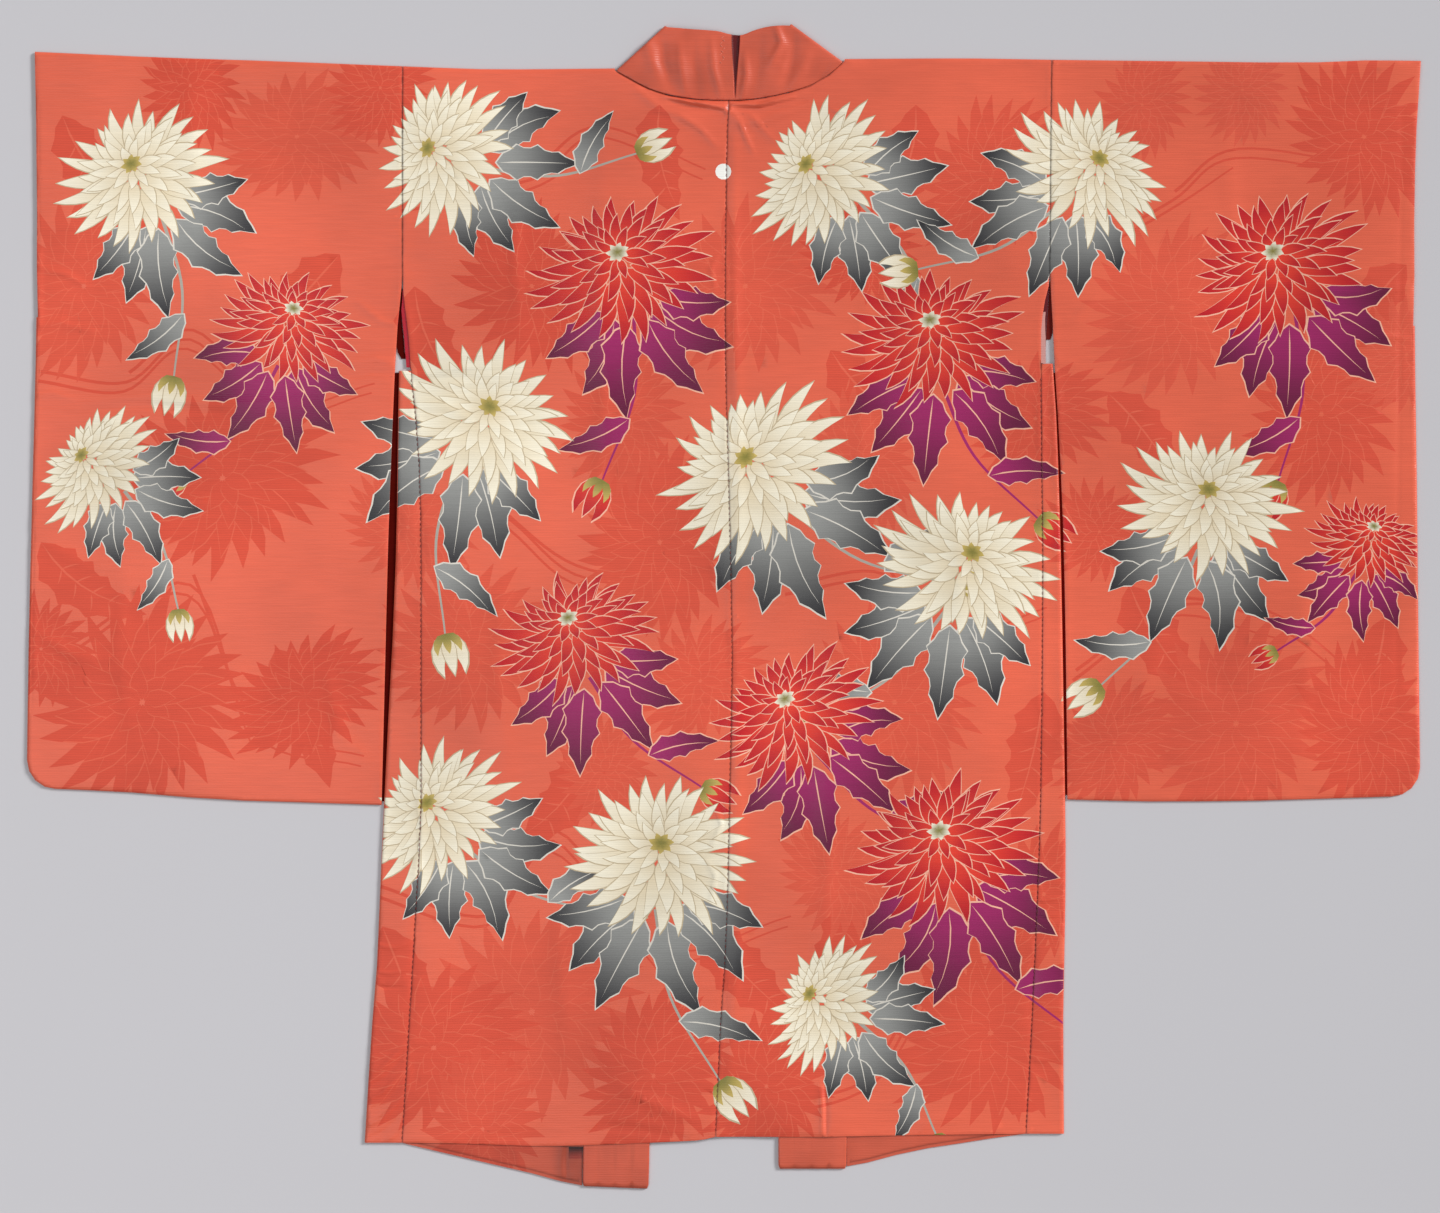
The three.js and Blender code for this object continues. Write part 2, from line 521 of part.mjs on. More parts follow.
// ---- the garment: every piece with its own cloth, centred over the surface ----
const SILK = { body: 0xe4735c, sleeve: 0xe67661, gusset: 0xe0705a, collar: 0xe36f59 };
const PIECES = [
  { name: 'body_left', wall: body('left'), colour: SILK.body },
  { name: 'body_right', wall: body('right'), colour: SILK.body },
  { name: 'sleeve_left', wall: sleeve('left'), colour: SILK.sleeve },
  { name: 'sleeve_right', wall: sleeve('right'), colour: SILK.sleeve },
  { name: 'gusset_left', wall: gusset('left'), colour: SILK.gusset },
  { name: 'gusset_right', wall: gusset('right'), colour: SILK.gusset },
  { name: 'collar', wall: collar(), colour: SILK.collar },
];

const extent = new THREE.Box3().setFromPoints(PIECES.flatMap(({ wall }) => wall.points));
const middle = extent.getCenter(new THREE.Vector3());
const haori = new THREE.Group();
haori.name = 'haori';
for (const { name, wall, colour } of PIECES) {
  const geometry = new THREE.BufferGeometry();
  const positions = wall.points.flatMap((p) => [p.x - middle.x, p.y - middle.y, p.z]);
  geometry.setAttribute('position', new THREE.Float32BufferAttribute(positions, 3));
  geometry.setIndex(wall.faces.flat());
  geometry.computeVertexNormals();
  const material = new THREE.MeshStandardMaterial({ color: colour, roughness: 0.55 });
  const mesh = new THREE.Mesh(geometry, material);
  mesh.name = name;
  haori.add(mesh);
}

export default haori;
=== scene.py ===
import itertools
import math

import bmesh
import bpy
import numpy as np
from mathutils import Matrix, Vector
from mathutils.bvhtree import BVHTree
from mathutils.geometry import delaunay_2d_cdt
from mathutils.kdtree import KDTree


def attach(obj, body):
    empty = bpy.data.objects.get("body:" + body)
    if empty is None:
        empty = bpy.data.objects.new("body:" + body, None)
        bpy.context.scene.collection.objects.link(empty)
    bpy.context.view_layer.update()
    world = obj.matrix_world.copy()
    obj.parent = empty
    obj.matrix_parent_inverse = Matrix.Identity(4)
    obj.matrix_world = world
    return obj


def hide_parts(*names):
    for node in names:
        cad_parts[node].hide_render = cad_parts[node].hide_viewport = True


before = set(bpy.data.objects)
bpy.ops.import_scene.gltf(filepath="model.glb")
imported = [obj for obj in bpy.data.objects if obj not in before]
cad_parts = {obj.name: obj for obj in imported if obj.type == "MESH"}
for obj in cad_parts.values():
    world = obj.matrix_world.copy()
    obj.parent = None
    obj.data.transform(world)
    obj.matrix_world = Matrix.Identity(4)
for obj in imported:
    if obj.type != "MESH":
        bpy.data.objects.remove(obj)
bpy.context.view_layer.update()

MM = 0.001

# ---- cloth ----
GRID = 6          # spacing of the fine mesh
TILE = 48                          # the print is cut in square tiles of this size
SMOOTHING = 9                      # how far the fold facets of the solid are softened
SOFT_FROM = 14                     # and this far from a rim they are so fully
RASTER = 4                         # spacing of the heights that are softened
FLAT_TOP = 0.80                    # a face that looks up at least this much belongs to a top surface
BACK_ABOVE = 2.0                   # top faces higher than this belong to the upper layer
FRONT_FACE = 1.2                   # height of the inside of the fronts
RECESS = (-145.5, -131.5, -518.0, -507.0)    # left, right, lower and upper edge of the painted shadow in the gap beside the band
HEM_FACING = -470                  # below this the inside of the fronts is faced with the outer silk
ROLL = 1.5                         # how far in the edges of a panel start to roll down
SEAM_DEPTH = 0.35                  # how far they roll down at a seam
EDGE_DEPTH = 0.5                   # and at a free edge
SEAM_REACH = 1.2                   # an edge this close to another panel is sewn to it
DEEPEST = 0.7                      # the deepest a crease goes into a single layer
SHARP = 5                          # the mesh follows creases up to this width
NEAR_RIM = 1.2                     # points this close to the rim may lie on it
ON_RIM = 0.0004                    # a point this close to a side lies on it
WELD = 0.0008                      # points this close are one
SNAP = 0.0002                      # and inside a tile, points this close
KEYS_PER_MM = 2000                 # how finely the points of two tiles are told apart
UNDERARM = (221.0, 292.0)          # along the sides, where the lining rolls out under the arms
UNDERARM_PINK = 272                # on the right it is pale below this
LEFT_SIDE = -280                   # what lies beyond this is at the left side
SLEEVE_FOOT = -186                 # the sleeves end here
DEEP_HEIGHT = 0.6                  # where the gap is measured for the lining deep inside it
DEEP_LAYER = (0.1, 0.6)            # and from where to where that lining reaches up
ROLLED_HEIGHT = 2.4                # the same for the lining that rolls out
ROLLED_LAYER = (1.25, 1.75)
SIDE_STEP = 6.0                    # the gap is measured this often
OPENING = (0.8, 20)                # and holds lining where it is from the first to the second wide
INSIDE_WALL = 0.35                 # how far a strip of lining reaches past the gap's far side
INSIDE_BODY = 0.6                  # and the rolled strip past the body's edge
PLEAT_Y = (478, 536)               # the painted shade in the pleat at the neck: its ends, and its middle and half width at them
PLEAT_X = (10.6, 11.2)
PLEAT_HALF = (0.4, 4.0)
BAND_TOP = 2.6                     # the band's upper side lies above this
BAND_FOOT = 462                    # its creases start here
TACKING_X = -1.5                   # the tacking stitches and their ends
TACKING_Y = (533, 509)
BAND_PAINTED_SHADE = 0.80                  # painted shade: the band's silk runs the other way and looks darker in the light
BODY_EDGE = 306                    # the body's sides lie within this of the middle
ARMHOLE_SHADE = 0.34               # how dark the silk is in the depth of each seam
BACK_SEAM_SHADE = 0.64
NECK_SHADE = 0.40
FACING_PAINTED_SHADE = 0.72                # and how dark the facing is painted, as shade under the back
NECK_FOOT = 460                    # the centre seam starts below the neck, at this height
RIB_SCALE = 142.0                  # 2.2 mm between ribs
TWIST_SCALE = 320.0                # 2 mm between turns along a thread
RIM_STEP = 4       # spacing of points along the edges
RIM_ANGLE = math.radians(55)

# ---- camera: straight above, far away ----
IMAGE_WIDTH = 1440
MM_PER_PIXEL = 0.938
CAMERA_HEIGHT = 4200
SENSOR = 36.0
CAMERA_AT = (-3.6, -0.2)


def srgb(red, green, blue):
    """A linear colour from its 0 to 255 values."""
    return tuple((c / 255 / 12.92) if c <= 10 else ((c / 255 + 0.055) / 1.055) ** 2.4
                 for c in (red, green, blue))


CORAL = srgb(222, 97, 70)
CORAL_FIGURE = srgb(211, 75, 51)
CORAL_LINE = srgb(220, 94, 68)
# painted shade: coral darkened at the lower edge of the painted shadow beside the band
CORAL_PAINTED_SHADE = srgb(196, 70, 54)
CREAM = srgb(240, 232, 210)
CREAM_SHADE = srgb(222, 205, 172)
CREAM_LINE = srgb(190, 172, 140)
CRIMSON = srgb(178, 14, 30)
CRIMSON_LIGHT = srgb(226, 62, 42)
CRIMSON_LINE = srgb(238, 176, 150)
PLUM = srgb(96, 12, 52)
MAGENTA = srgb(158, 30, 96)
CHARCOAL = srgb(38, 36, 40)
ASH = srgb(150, 150, 146)
PALE_LINE = srgb(214, 208, 196)
STEM_GREY = srgb(168, 162, 150)
OLIVE = srgb(128, 120, 52)
GOLD = srgb(196, 170, 92)
WHITE = srgb(246, 244, 236)
LINING = srgb(112, 12, 26)
# painted shade: lining darkened for the depth of the gaps beside the sleeves, the left darker than the right
LINING_PAINTED_SHADE = srgb(76, 12, 8)
LINING_PAINTED_SHADE_RIGHT = srgb(116, 18, 12)
# painted shadow: near black at the upper edge of the gap beside the band
RECESS_PAINTED_SHADOW = srgb(34, 3, 6)
# painted shade in the groove of the pleat at the neck
PLEAT_PAINTED_SHADE = srgb(92, 6, 12)
CRIMSON_ROLLED = srgb(178, 6, 36)
LINING_PINK = srgb(206, 148, 140)
# painted shadow at the top of the right gap beside the sleeve
PAINTED_SHADOW_BROWN = srgb(104, 32, 28)
SEAM_THREAD = srgb(126, 26, 22)
PALE_THREAD = srgb(236, 138, 116)
FLOOR_GREY = srgb(197, 195, 198)


# ================= small helpers =================

def table(columns, *rows):
    """Rows of values as dictionaries, with the columns' names as keys."""
    return [dict(zip(columns.split(), row)) for row in rows]


def mesh_of(work, name):
    """The mesh of a finished bmesh."""
    mesh = bpy.data.meshes.new(name)
    work.to_mesh(mesh)
    work.free()
    return mesh


def placed(name, data):
    """A new object in the scene."""
    made = bpy.data.objects.new(name, data)
    bpy.context.scene.collection.objects.link(made)
    return made


def mix(a, b, t):
    return a + (b - a) * t


def smooth(edge0, edge1, value):
    t = np.clip((value - edge0) / (edge1 - edge0), 0, 1)
    return t * t * (3 - 2 * t)


def blend(corner, s, t):
    """A value between four corners that corner gives by number."""
    return mix(mix(corner(0, 0), corner(1, 0), s), mix(corner(0, 1), corner(1, 1), s), t)


def square_to(run):
    """The direction to the left of a run on the plan, as long as the run."""
    return np.array([-run[1], run[0]])


def toward(angle):
    return np.array([math.cos(angle), math.sin(angle)])


def value_noise(x, y, size, seed):
    """Smooth noise from -1 to 1 with lumps of the given size."""
    rng = np.random.default_rng(seed)
    lattice = rng.uniform(-1, 1, (64, 64))
    u, v = np.asarray(x) / size, np.asarray(y) / size
    i, j = np.floor(u).astype(int), np.floor(v).astype(int)
    s, t = u - i, v - j
    s, t = s * s * (3 - 2 * s), t * t * (3 - 2 * t)
    return blend(lambda a, b: lattice[(i + a) % 64, (j + b) % 64], s, t)


# ================= shapes of the print =================
# A shape is a closed outline with a colour that runs from one end of its axis to the other.
# Its figure is 1 where it is woven in the ground and 0 where it is printed.

def shape(outline, start, end, low, high, figure=0.0):
    return {"outline": np.array(outline, float), "start": np.array(start, float),
            "end": np.array(end, float), "low": low, "high": high, "figure": figure}


def plain_shape(outline, colour):
    return shape(outline, (0, 0), (0, 1), colour, colour)


def woven_shape(outline, colour):
    return shape(outline, (0, 0), (0, 1), colour, colour, 1.0)


def along(start, end, bend, t):
    """A point on a bowed line, and the direction square to it."""
    start, end = np.array(start, float), np.array(end, float)
    run = end - start
    side = square_to(run)
    point = start + run * t + side * bend * 4 * t * (1 - t)
    ahead = run + side * bend * 4 * (1 - 2 * t)
    return point, square_to(ahead / np.hypot(*ahead))


def blade(start, end, width, bend, fullness, steps=6, lobes=0):
    """The outline of a petal or leaf, pointed at both ends and widest where fullness says."""
    left, right = [], []
    for i in range(steps + 1):
        t = i / steps
        half = width / 2 * math.sin(math.pi * t ** fullness) ** 0.85
        if lobes:
            half *= 1 + 0.42 * (2 * abs((t * lobes) % 1 - 0.5) - 0.5)
        point, side = along(start, end, bend, t)
        left.append(point + side * half)
        right.append(point - side * half)
    left[0], left[-1] = right[0], right[-1]
    return left[:-1] + right[:0:-1]


def ribbon(points, width_from, width_to):
    """The outline of a stem through a few points, rounded between them."""
    points = np.array(points, float)
    steps = 8 * (len(points) - 1)
    padded = np.vstack([2 * points[0] - points[1], points, 2 * points[-1] - points[-2]])
    centre = []
    for k in range(steps + 1):
        s = k / steps * (len(points) - 1)
        i = min(int(s), len(points) - 2)
        t = s - i
        a, b, c, d = padded[i:i + 4]
        centre.append(0.5 * (2 * b + (c - a) * t + (2 * a - 5 * b + 4 * c - d) * t ** 2
                             + (3 * b - a - 3 * c + d) * t ** 3))
    centre = np.array(centre)
    ahead = np.gradient(centre, axis=0)
    ahead /= np.linalg.norm(ahead, axis=1)[:, None]
    side = np.column_stack([-ahead[:, 1], ahead[:, 0]])
    half = np.linspace(width_from, width_to, len(centre))[:, None] / 2
    return list(centre + side * half) + list((centre - side * half)[::-1])


def disc(centre, radius, points=14):
    return [(centre[0] + radius * math.cos(2 * math.pi * k / points),
             centre[1] + radius * math.sin(2 * math.pi * k / points)) for k in range(points)]


# rings of a blossom: how many petals, and where they start and end and how wide they are as shares of
# its radius
RINGS = table("count foot tip width",
    (23, 0.30, 1.00, 0.155), (19, 0.22, 0.79, 0.150), (15, 0.14, 0.58, 0.135), (10, 0.05, 0.36, 0.115))
PETAL_LINE = 0.9                   # width of the line round a petal
TONAL_MARGIN = 1.9                 # both lines of a woven petal together
BLOSSOMS = {
    "cream": {"low": CREAM_SHADE, "high": CREAM, "line": CREAM_LINE, "heart": GOLD, "heart_line": OLIVE,
              "leaf_low": ASH, "leaf_high": CHARCOAL, "leaf_line": PALE_LINE, "stem": STEM_GREY},
    "crimson": {"low": CRIMSON_LIGHT, "high": CRIMSON, "line": CRIMSON_LINE, "heart": CREAM,
                "heart_line": OLIVE, "leaf_low": MAGENTA, "leaf_high": PLUM, "leaf_line": CRIMSON_LINE,
                "stem": MAGENTA},
}


def blossom(centre, radius, turn, tilt, look, rng, fine):
    """A ragged many-petalled chrysanthemum seen a little from the side."""
    shapes = []
    steps = 6 if fine else 3
    c, s = math.cos(turn), math.sin(turn)

    def place(r, angle, lift):
        x, y = r * math.cos(angle), r * math.sin(angle) * tilt + lift
        return np.array([centre[0] + c * x - s * y, centre[1] + s * x + c * y])

    for index, ring in enumerate(RINGS):
        lift = (1 - tilt) * radius * 0.22 * index
        for k in range(ring["count"]):
            angle = 2 * math.pi * (k + 0.5 * (index % 2) + rng.uniform(-0.16, 0.16)) / ring["count"]
            reach = radius * ring["tip"] * rng.uniform(0.86, 1.08)
            foot, tip = place(radius * ring["foot"], angle, lift), place(reach, angle + 0.1, lift)
            bend = rng.uniform(0.02, 0.11)
            width = radius * ring["width"] * rng.uniform(0.9, 1.12)
            if fine:
                shapes.append(plain_shape(blade(foot, tip, width, bend, 0.72), look["line"]))
            inner = blade(mix(foot, tip, 0.03), mix(foot, tip, 0.965), width - 2 * PETAL_LINE, bend, 0.72,
                          steps)
            shapes.append(shape(inner, foot, tip, look["low"], look["high"]))
    lift = (1 - tilt) * radius * 0.8
    heart = place(0, 0, lift)
    if not fine:
        return shapes + [shape(disc(heart, radius * 0.1, 7), heart, heart + 1, look["heart_line"],
                               look["heart"])]
    for k in range(7):
        angle = 2 * math.pi * k / 7 + 0.2
        tip = place(radius * 0.13, angle, lift)
        shapes.append(shape(blade(heart, tip, radius * 0.075, 0.05, 0.7, 4), heart, tip,
                            look["heart_line"], look["heart"]))
    return shapes


def leaf(foot, tip, width, look, fine, bend=0.06, lobes=4):
    """A lobed leaf with a pale edge and a pale midrib."""
    foot, tip = np.array(foot, float), np.array(tip, float)
    whole = blade(foot, tip, width, bend, 0.66, 3 * lobes, lobes)
    if not fine:
        return [shape(whole, foot, tip, look["leaf_low"], look["leaf_high"])]
    inner = blade(mix(foot, tip, 0.02), mix(foot, tip, 0.975), width - 2.0, bend, 0.66, 3 * lobes, lobes)
    midrib = blade(mix(foot, tip, 0.04), mix(foot, tip, 0.86), 1.3, bend, 0.5, 5)
    return [plain_shape(whole, look["leaf_line"]),
            shape(inner, foot, tip, look["leaf_low"], look["leaf_high"]),
            plain_shape(midrib, look["leaf_line"])]


def bud(foot, tip, width, look):
    """A closed bud in its green cup."""
    foot, tip = np.array(foot, float), np.array(tip, float)
    side = square_to(tip - foot)
    shapes = []
    for lean in (-0.24, 0.24, 0.0):
        end = tip + side * lean
        shapes.append(plain_shape(blade(foot, end, width * 0.62, lean * 0.6, 0.7, 5), look["line"]))
        inner = blade(foot, mix(foot, end, 0.95), width * 0.62 - 1.6, lean * 0.6, 0.7, 5)
        shapes.append(shape(inner, foot, end, look["low"], look["high"]))
    for lean in (-0.34, 0.34, 0.0):
        end = mix(foot, tip, 0.46) + side * lean * 0.8
        shapes.append(shape(blade(foot, end, width * 0.34, lean * 0.5, 0.8, 4), foot, end, OLIVE, GOLD))
    return shapes


# the leaves behind a blossom: the angle to its stem, then foot, tip and width as shares of its radius
FAN = table("angle foot reach width",
    (-0.62, 0.55, 1.42, 0.40), (0.66, 0.5, 1.46, 0.42), (-0.27, 0.6, 1.62, 0.40),
    (0.30, 0.6, 1.60, 0.38), (-0.98, 0.5, 1.26, 0.34), (1.02, 0.5, 1.22, 0.34))


def spray(x, y, radius, turn, tilt, kind, rng, fine):
    """A blossom with a fan of leaves behind it and a stem that curves away."""
    look = BLOSSOMS[kind]
    away = math.radians(turn)
    centre = np.array([x, y], float)

    def out(angle, distance):
        return centre + distance * toward(away + angle)

    bow = rng.choice([-1, 1])
    end = out(0.35 * bow, radius * 2.25)
    stem = ribbon([out(0, radius * 0.5), out(0.16 * bow, radius * 1.35), end], 3.4, 1.7)
    shapes = [plain_shape(stem, look["stem"])]
    for row in FAN:
        wobble = rng.uniform(-0.06, 0.06)
        shapes += leaf(out(row["angle"] * 0.6, radius * row["foot"]),
                       out(row["angle"] + wobble, radius * row["reach"]),
                       radius * row["width"], look, fine, rng.uniform(-0.1, 0.1))
    shapes += leaf(out(0.2 * bow, radius * 1.6), out(0.60 * bow, radius * 2.05), radius * 0.28, look, fine)
    shapes += bud(end, out(0.42 * bow, radius * 2.68), radius * 0.26, look)
    shapes += blossom(centre, radius, away + math.pi / 2, tilt, look, rng, fine)
    return shapes


TONAL_RINGS = table("count foot tip width",
    (25, 0.2, 1.0, 0.17), (19, 0.14, 0.77, 0.17), (14, 0.08, 0.54, 0.16), (8, 0.02, 0.31, 0.15))


def tonal_blossom(x, y, radius, turn, tilt, rng, fine):
    """A large blossom woven tone on tone in the ground."""
    shapes = []
    centre = np.array([x, y], float)
    c, s = math.cos(turn), math.sin(turn)

    def place(r, angle):
        px, py = r * math.cos(angle), r * math.sin(angle) * tilt
        return centre + np.array([c * px - s * py, s * px + c * py])

    tone = mix(np.array(CORAL), np.array(CORAL_FIGURE), rng.uniform(0.6, 1.12))
    line = mix(np.array(CORAL), tone, 0.3)
    for ring in TONAL_RINGS if fine else TONAL_RINGS[:1]:
        for k in range(ring["count"]):
            angle = 2 * math.pi * (k + rng.uniform(-0.15, 0.15)) / ring["count"]
            reach = radius * ring["tip"] * rng.uniform(0.88, 1.06)
            foot, tip = place(radius * ring["foot"], angle), place(reach, angle + 0.12)
            width, margin = radius * ring["width"], 0
            if ring["tip"] < 1:
                shapes.append(woven_shape(blade(foot, tip, width, 0.08, 0.72, 4), line))
                margin = TONAL_MARGIN
            inner = blade(foot, mix(foot, tip, 0.97), width - margin, 0.08, 0.72, 4)
            shapes.append(woven_shape(inner, tone))
    return shapes


def tonal_leaf(x, y, length, turn, rng):
    """A long tone-on-tone leaf with light side veins."""
    direction = toward(turn)
    foot = np.array([x, y], float)
    tip = foot + direction * length
    bend = rng.uniform(-0.12, 0.12)
    shapes = [woven_shape(blade(foot, tip, length * 0.36, bend, 0.7, 15, 5), CORAL_FIGURE)]
    for t in (0.25, 0.4, 0.55, 0.7):
        root, side = along(foot, tip, bend, t)
        for sign in (-1, 1):
            end = root + side * sign * length * 0.12 + direction * length * 0.07
            shapes.append(woven_shape(blade(root, end, 1.6, 0.05, 0.6, 4), CORAL_LINE))
    shapes.append(woven_shape(blade(foot, mix(foot, tip, 0.9), 2.0, bend, 0.5, 6), CORAL_LINE))
    return shapes


def tonal_stream(points, width):
    """Three lines of running water, the outer ones shorter."""
    shapes = []
    points = np.array(points, float)
    for offset, first, last in ((-0.8, 0, len(points) - 1), (0.0, 0, len(points)), (0.8, 1, len(points))):
        line = points[first:last] + np.array([offset * 0.3, offset]) * width
        shapes.append(woven_shape(ribbon(line, 3.2, 1.6), CORAL_FIGURE))
    return shapes


# where the sprays lie: middle of the blossom, radius, the way its stem leaves it, how round it is seen
SPRAYS = table("x y radius turn tilt kind",
    (-548, 402, 84, -60, 0.78, "cream"), (-408, 262, 75, -105, 0.70, "crimson"),
    (-588, 130, 68, -40, 0.66, "cream"), (-262, 424, 80, -20, 0.74, "cream"),
    (-96, 318, 89, -75, 0.80, "crimson"), (92, 404, 82, -35, 0.72, "cream"),
    (-226, 176, 91, -120, 0.82, "cream"), (196, 252, 87, -80, 0.76, "crimson"),
    (30, 128, 96, -50, 0.80, "cream"), (-140, -28, 82, -70, 0.72, "crimson"),
    (226, 36, 91, -115, 0.78, "cream"), (66, -102, 84, -60, 0.74, "crimson"),
    (-268, -196, 82, -50, 0.76, "cream"), (-60, -236, 96, -95, 0.82, "cream"),
    (206, -226, 93, -75, 0.78, "crimson"), (96, -372, 71, -30, 0.68, "cream"),
    (342, 408, 82, -130, 0.76, "cream"), (520, 318, 89, -70, 0.78, "crimson"),
    (452, 96, 87, -100, 0.80, "cream"), (604, 60, 59, -110, 0.66, "crimson"))
TONAL_BLOSSOMS = table("x y radius turn tilt",
    (-470, 120, 112, 0.3, 0.85), (-600, 300, 96, 1.1, 0.80), (-400, 440, 88, 0.1, 0.75),
    (-545, -90, 118, 0.8, 0.85), (-180, 300, 92, 2.0, 0.80), (20, 300, 100, 0.5, 0.85),
    (-60, 60, 104, 1.4, 0.80), (-240, -40, 98, 0.2, 0.85), (160, -90, 100, 1.9, 0.80),
    (-180, -380, 118, 0.7, 0.85), (40, -450, 86, 1.2, 0.75), (250, -400, 112, 0.4, 0.85),
    (250, 400, 88, 1.0, 0.80), (420, 280, 98, 0.6, 0.85), (600, 440, 92, 2.2, 0.80),
    (560, 180, 96, 1.5, 0.80), (480, -110, 110, 0.9, 0.85), (-392, -84, 86, 0.5, 0.72),
    (-500, 488, 66, 1.7, 0.8), (-322, 486, 62, 0.9, 0.8), (-96, 176, 80, 1.3, 0.78),
    (-296, 74, 72, 2.4, 0.8), (-22, -70, 74, 0.4, 0.8), (-112, -156, 66, 1.9, 0.72),
    (-272, -414, 104, 0.3, 0.8), (-66, -440, 96, 1.1, 0.74), (106, -250, 70, 2.1, 0.8),
    (300, -270, 80, 0.6, 0.8), (132, 136, 76, 1.6, 0.75), (292, 176, 78, 0.2, 0.8),
    (128, 330, 64, 2.6, 0.8), (392, 470, 62, 1.2, 0.75), (366, -128, 74, 0.8, 0.8),
    (602, -116, 92, 1.8, 0.78), (352, 70, 64, 2.9, 0.8), (640, 236, 68, 0.5, 0.8),
    (486, 484, 58, 1.4, 0.8), (-640, -40, 62, 2.2, 0.8), (-226, -490, 84, 1.5, 0.7))
TONAL_LEAVES = table("x y length turn",
    (-620, 460, 120, -0.9), (-360, 330, 130, -2.3), (-420, -40, 140, -1.2), (-640, 60, 120, -0.6),
    (-60, 470, 110, -1.4), (180, 470, 120, -1.9), (-290, 300, 130, -1.1), (100, 240, 120, -0.7),
    (-120, -120, 130, -2.2), (300, -80, 130, -1.8), (-20, -300, 130, -0.8), (-320, -300, 120, -1.2),
    (130, -260, 120, -2.0), (380, 20, 130, -1.0), (640, 320, 120, -2.1), (620, -10, 130, -1.9),
    (360, 200, 110, -0.9), (300, -470, 110, 2.6))
TONAL_STREAMS = table("width points",
    (11, ((-640, 220), (-560, 210), (-500, 250), (-420, 180), (-330, 200))),
    (12, ((-620, -40), (-500, 20), (-440, -120), (-340, -150))),
    (12, ((-300, 380), (-180, 400), (-120, 440), (-20, 400))),
    (10, ((-320, 60), (-220, 90), (-140, 30), (-40, 20), (30, 40))),
    (12, ((-330, -260), (-220, -290), (-160, -220), (-60, -330), (60, -300))),
    (11, ((60, 20), (150, 30), (200, -40), (300, -10))),
    (12, ((40, -470), (140, -440), (200, -350), (300, -330))),
    (11, ((330, 330), (420, 380), (480, 420), (620, 400))),
    (12, ((330, -60), (420, 0), (520, -20), (640, -120))))
BACK_DISC_AT = (-0.5, 407.5)       # a plain white disc at the centre seam
BACK_DISC_RADIUS = 7.5
FLIP_SHIFT = 60                    # the print of the underside is the back's, mirrored and moved down


def with_corners(shapes):
    for item in shapes:
        item["low_corner"], item["high_corner"] = item["outline"].min(0), item["outline"].max(0)
    return shapes


def whole_print(fine):
    """Every shape of the print, the lowest first. Hidden sides get it with simpler petals."""
    rng = np.random.default_rng(11)
    shapes = []
    for row in TONAL_STREAMS:
        shapes += tonal_stream(**row)
    for row in TONAL_LEAVES:
        shapes += tonal_leaf(**row, rng=rng)
    for row in TONAL_BLOSSOMS:
        shapes += tonal_blossom(**row, rng=rng, fine=fine)
    for row in SPRAYS:
        shapes += spray(**row, rng=rng, fine=fine)
    if not fine:
        for item in shapes:
            for end in ("outline", "start", "end"):
                item[end] = item[end] * (-1, 1) - (0, FLIP_SHIFT)
        return with_corners(shapes)
    shapes.append(plain_shape(disc(BACK_DISC_AT, BACK_DISC_RADIUS), WHITE))
    return with_corners(shapes)


def shape_colours(item, points):
    """The colour of one shape at some plan points."""
    run = item["end"] - item["start"]
    t = smooth(0.0, 1.0, (points - item["start"]) @ run / max(run @ run, 1e-9))
    return mix(np.array(item["low"]), np.array(item["high"]), t[:, None])


# ================= cutting the print into the cloth =================

def segments_of(outline, step=None):
    """The sides of a closed outline as two arrays of points, split where they are longer than step."""
    starts, ends = [], []
    for p, q in zip(outline, np.roll(outline, -1, 0)):
        count = 1 if step is None else max(1, round(np.hypot(*(q - p)) / step))
        spots = p + (q - p) * np.linspace(0, 1, count + 1)[:, None]
        starts.append(spots[:-1])
        ends.append(spots[1:])
    return np.vstack(starts), np.vstack(ends)


def inset(outline, depth):
    """An outline moved inwards; it runs anticlockwise."""
    ahead = np.roll(outline, -1, 0) - outline
    ahead /= np.linalg.norm(ahead, axis=1)[:, None]
    before = np.roll(ahead, 1, 0)
    inward = np.column_stack([-(ahead + before)[:, 1], (ahead + before)[:, 0]])
    length = np.maximum(np.einsum("ij,ij->i", inward, inward), 0.5)
    return outline + inward * (2 * depth / length)[:, None]


def clip_segments(p, q, low, high):
    """The parts of segments inside a rectangle."""
    d = q - p
    enter, leave = np.zeros(len(p)), np.ones(len(p))
    for axis in (0, 1):
        with np.errstate(divide="ignore", invalid="ignore"):
            t = (np.array([low[axis], high[axis]])[:, None] - p[:, axis]) / d[:, axis]
        still = d[:, axis] == 0
        within = (p[:, axis] >= low[axis]) & (p[:, axis] <= high[axis])
        enter = np.maximum(enter, np.where(still, np.where(within, 0, 2), np.minimum(*t)))
        leave = np.minimum(leave, np.where(still, 1, np.maximum(*t)))
    kept = leave - enter > -1e-9
    return (p + d * enter[:, None])[kept], (p + d * leave[:, None])[kept]


def inside(outline, spots):
    """Which spots lie inside an outline, by how often it winds round them."""
    a, b = outline, np.roll(outline, -1, 0)
    x, y = spots[:, 0, None], spots[:, 1, None]
    rise = b[:, 1] - a[:, 1]
    crossing = (a[:, 1] <= y) != (b[:, 1] <= y)
    at = a[:, 0] + (y - a[:, 1]) / np.where(rise == 0, 1, rise) * (b[:, 0] - a[:, 0])
    return ((crossing & (x < at)) * np.sign(rise)).sum(1) != 0


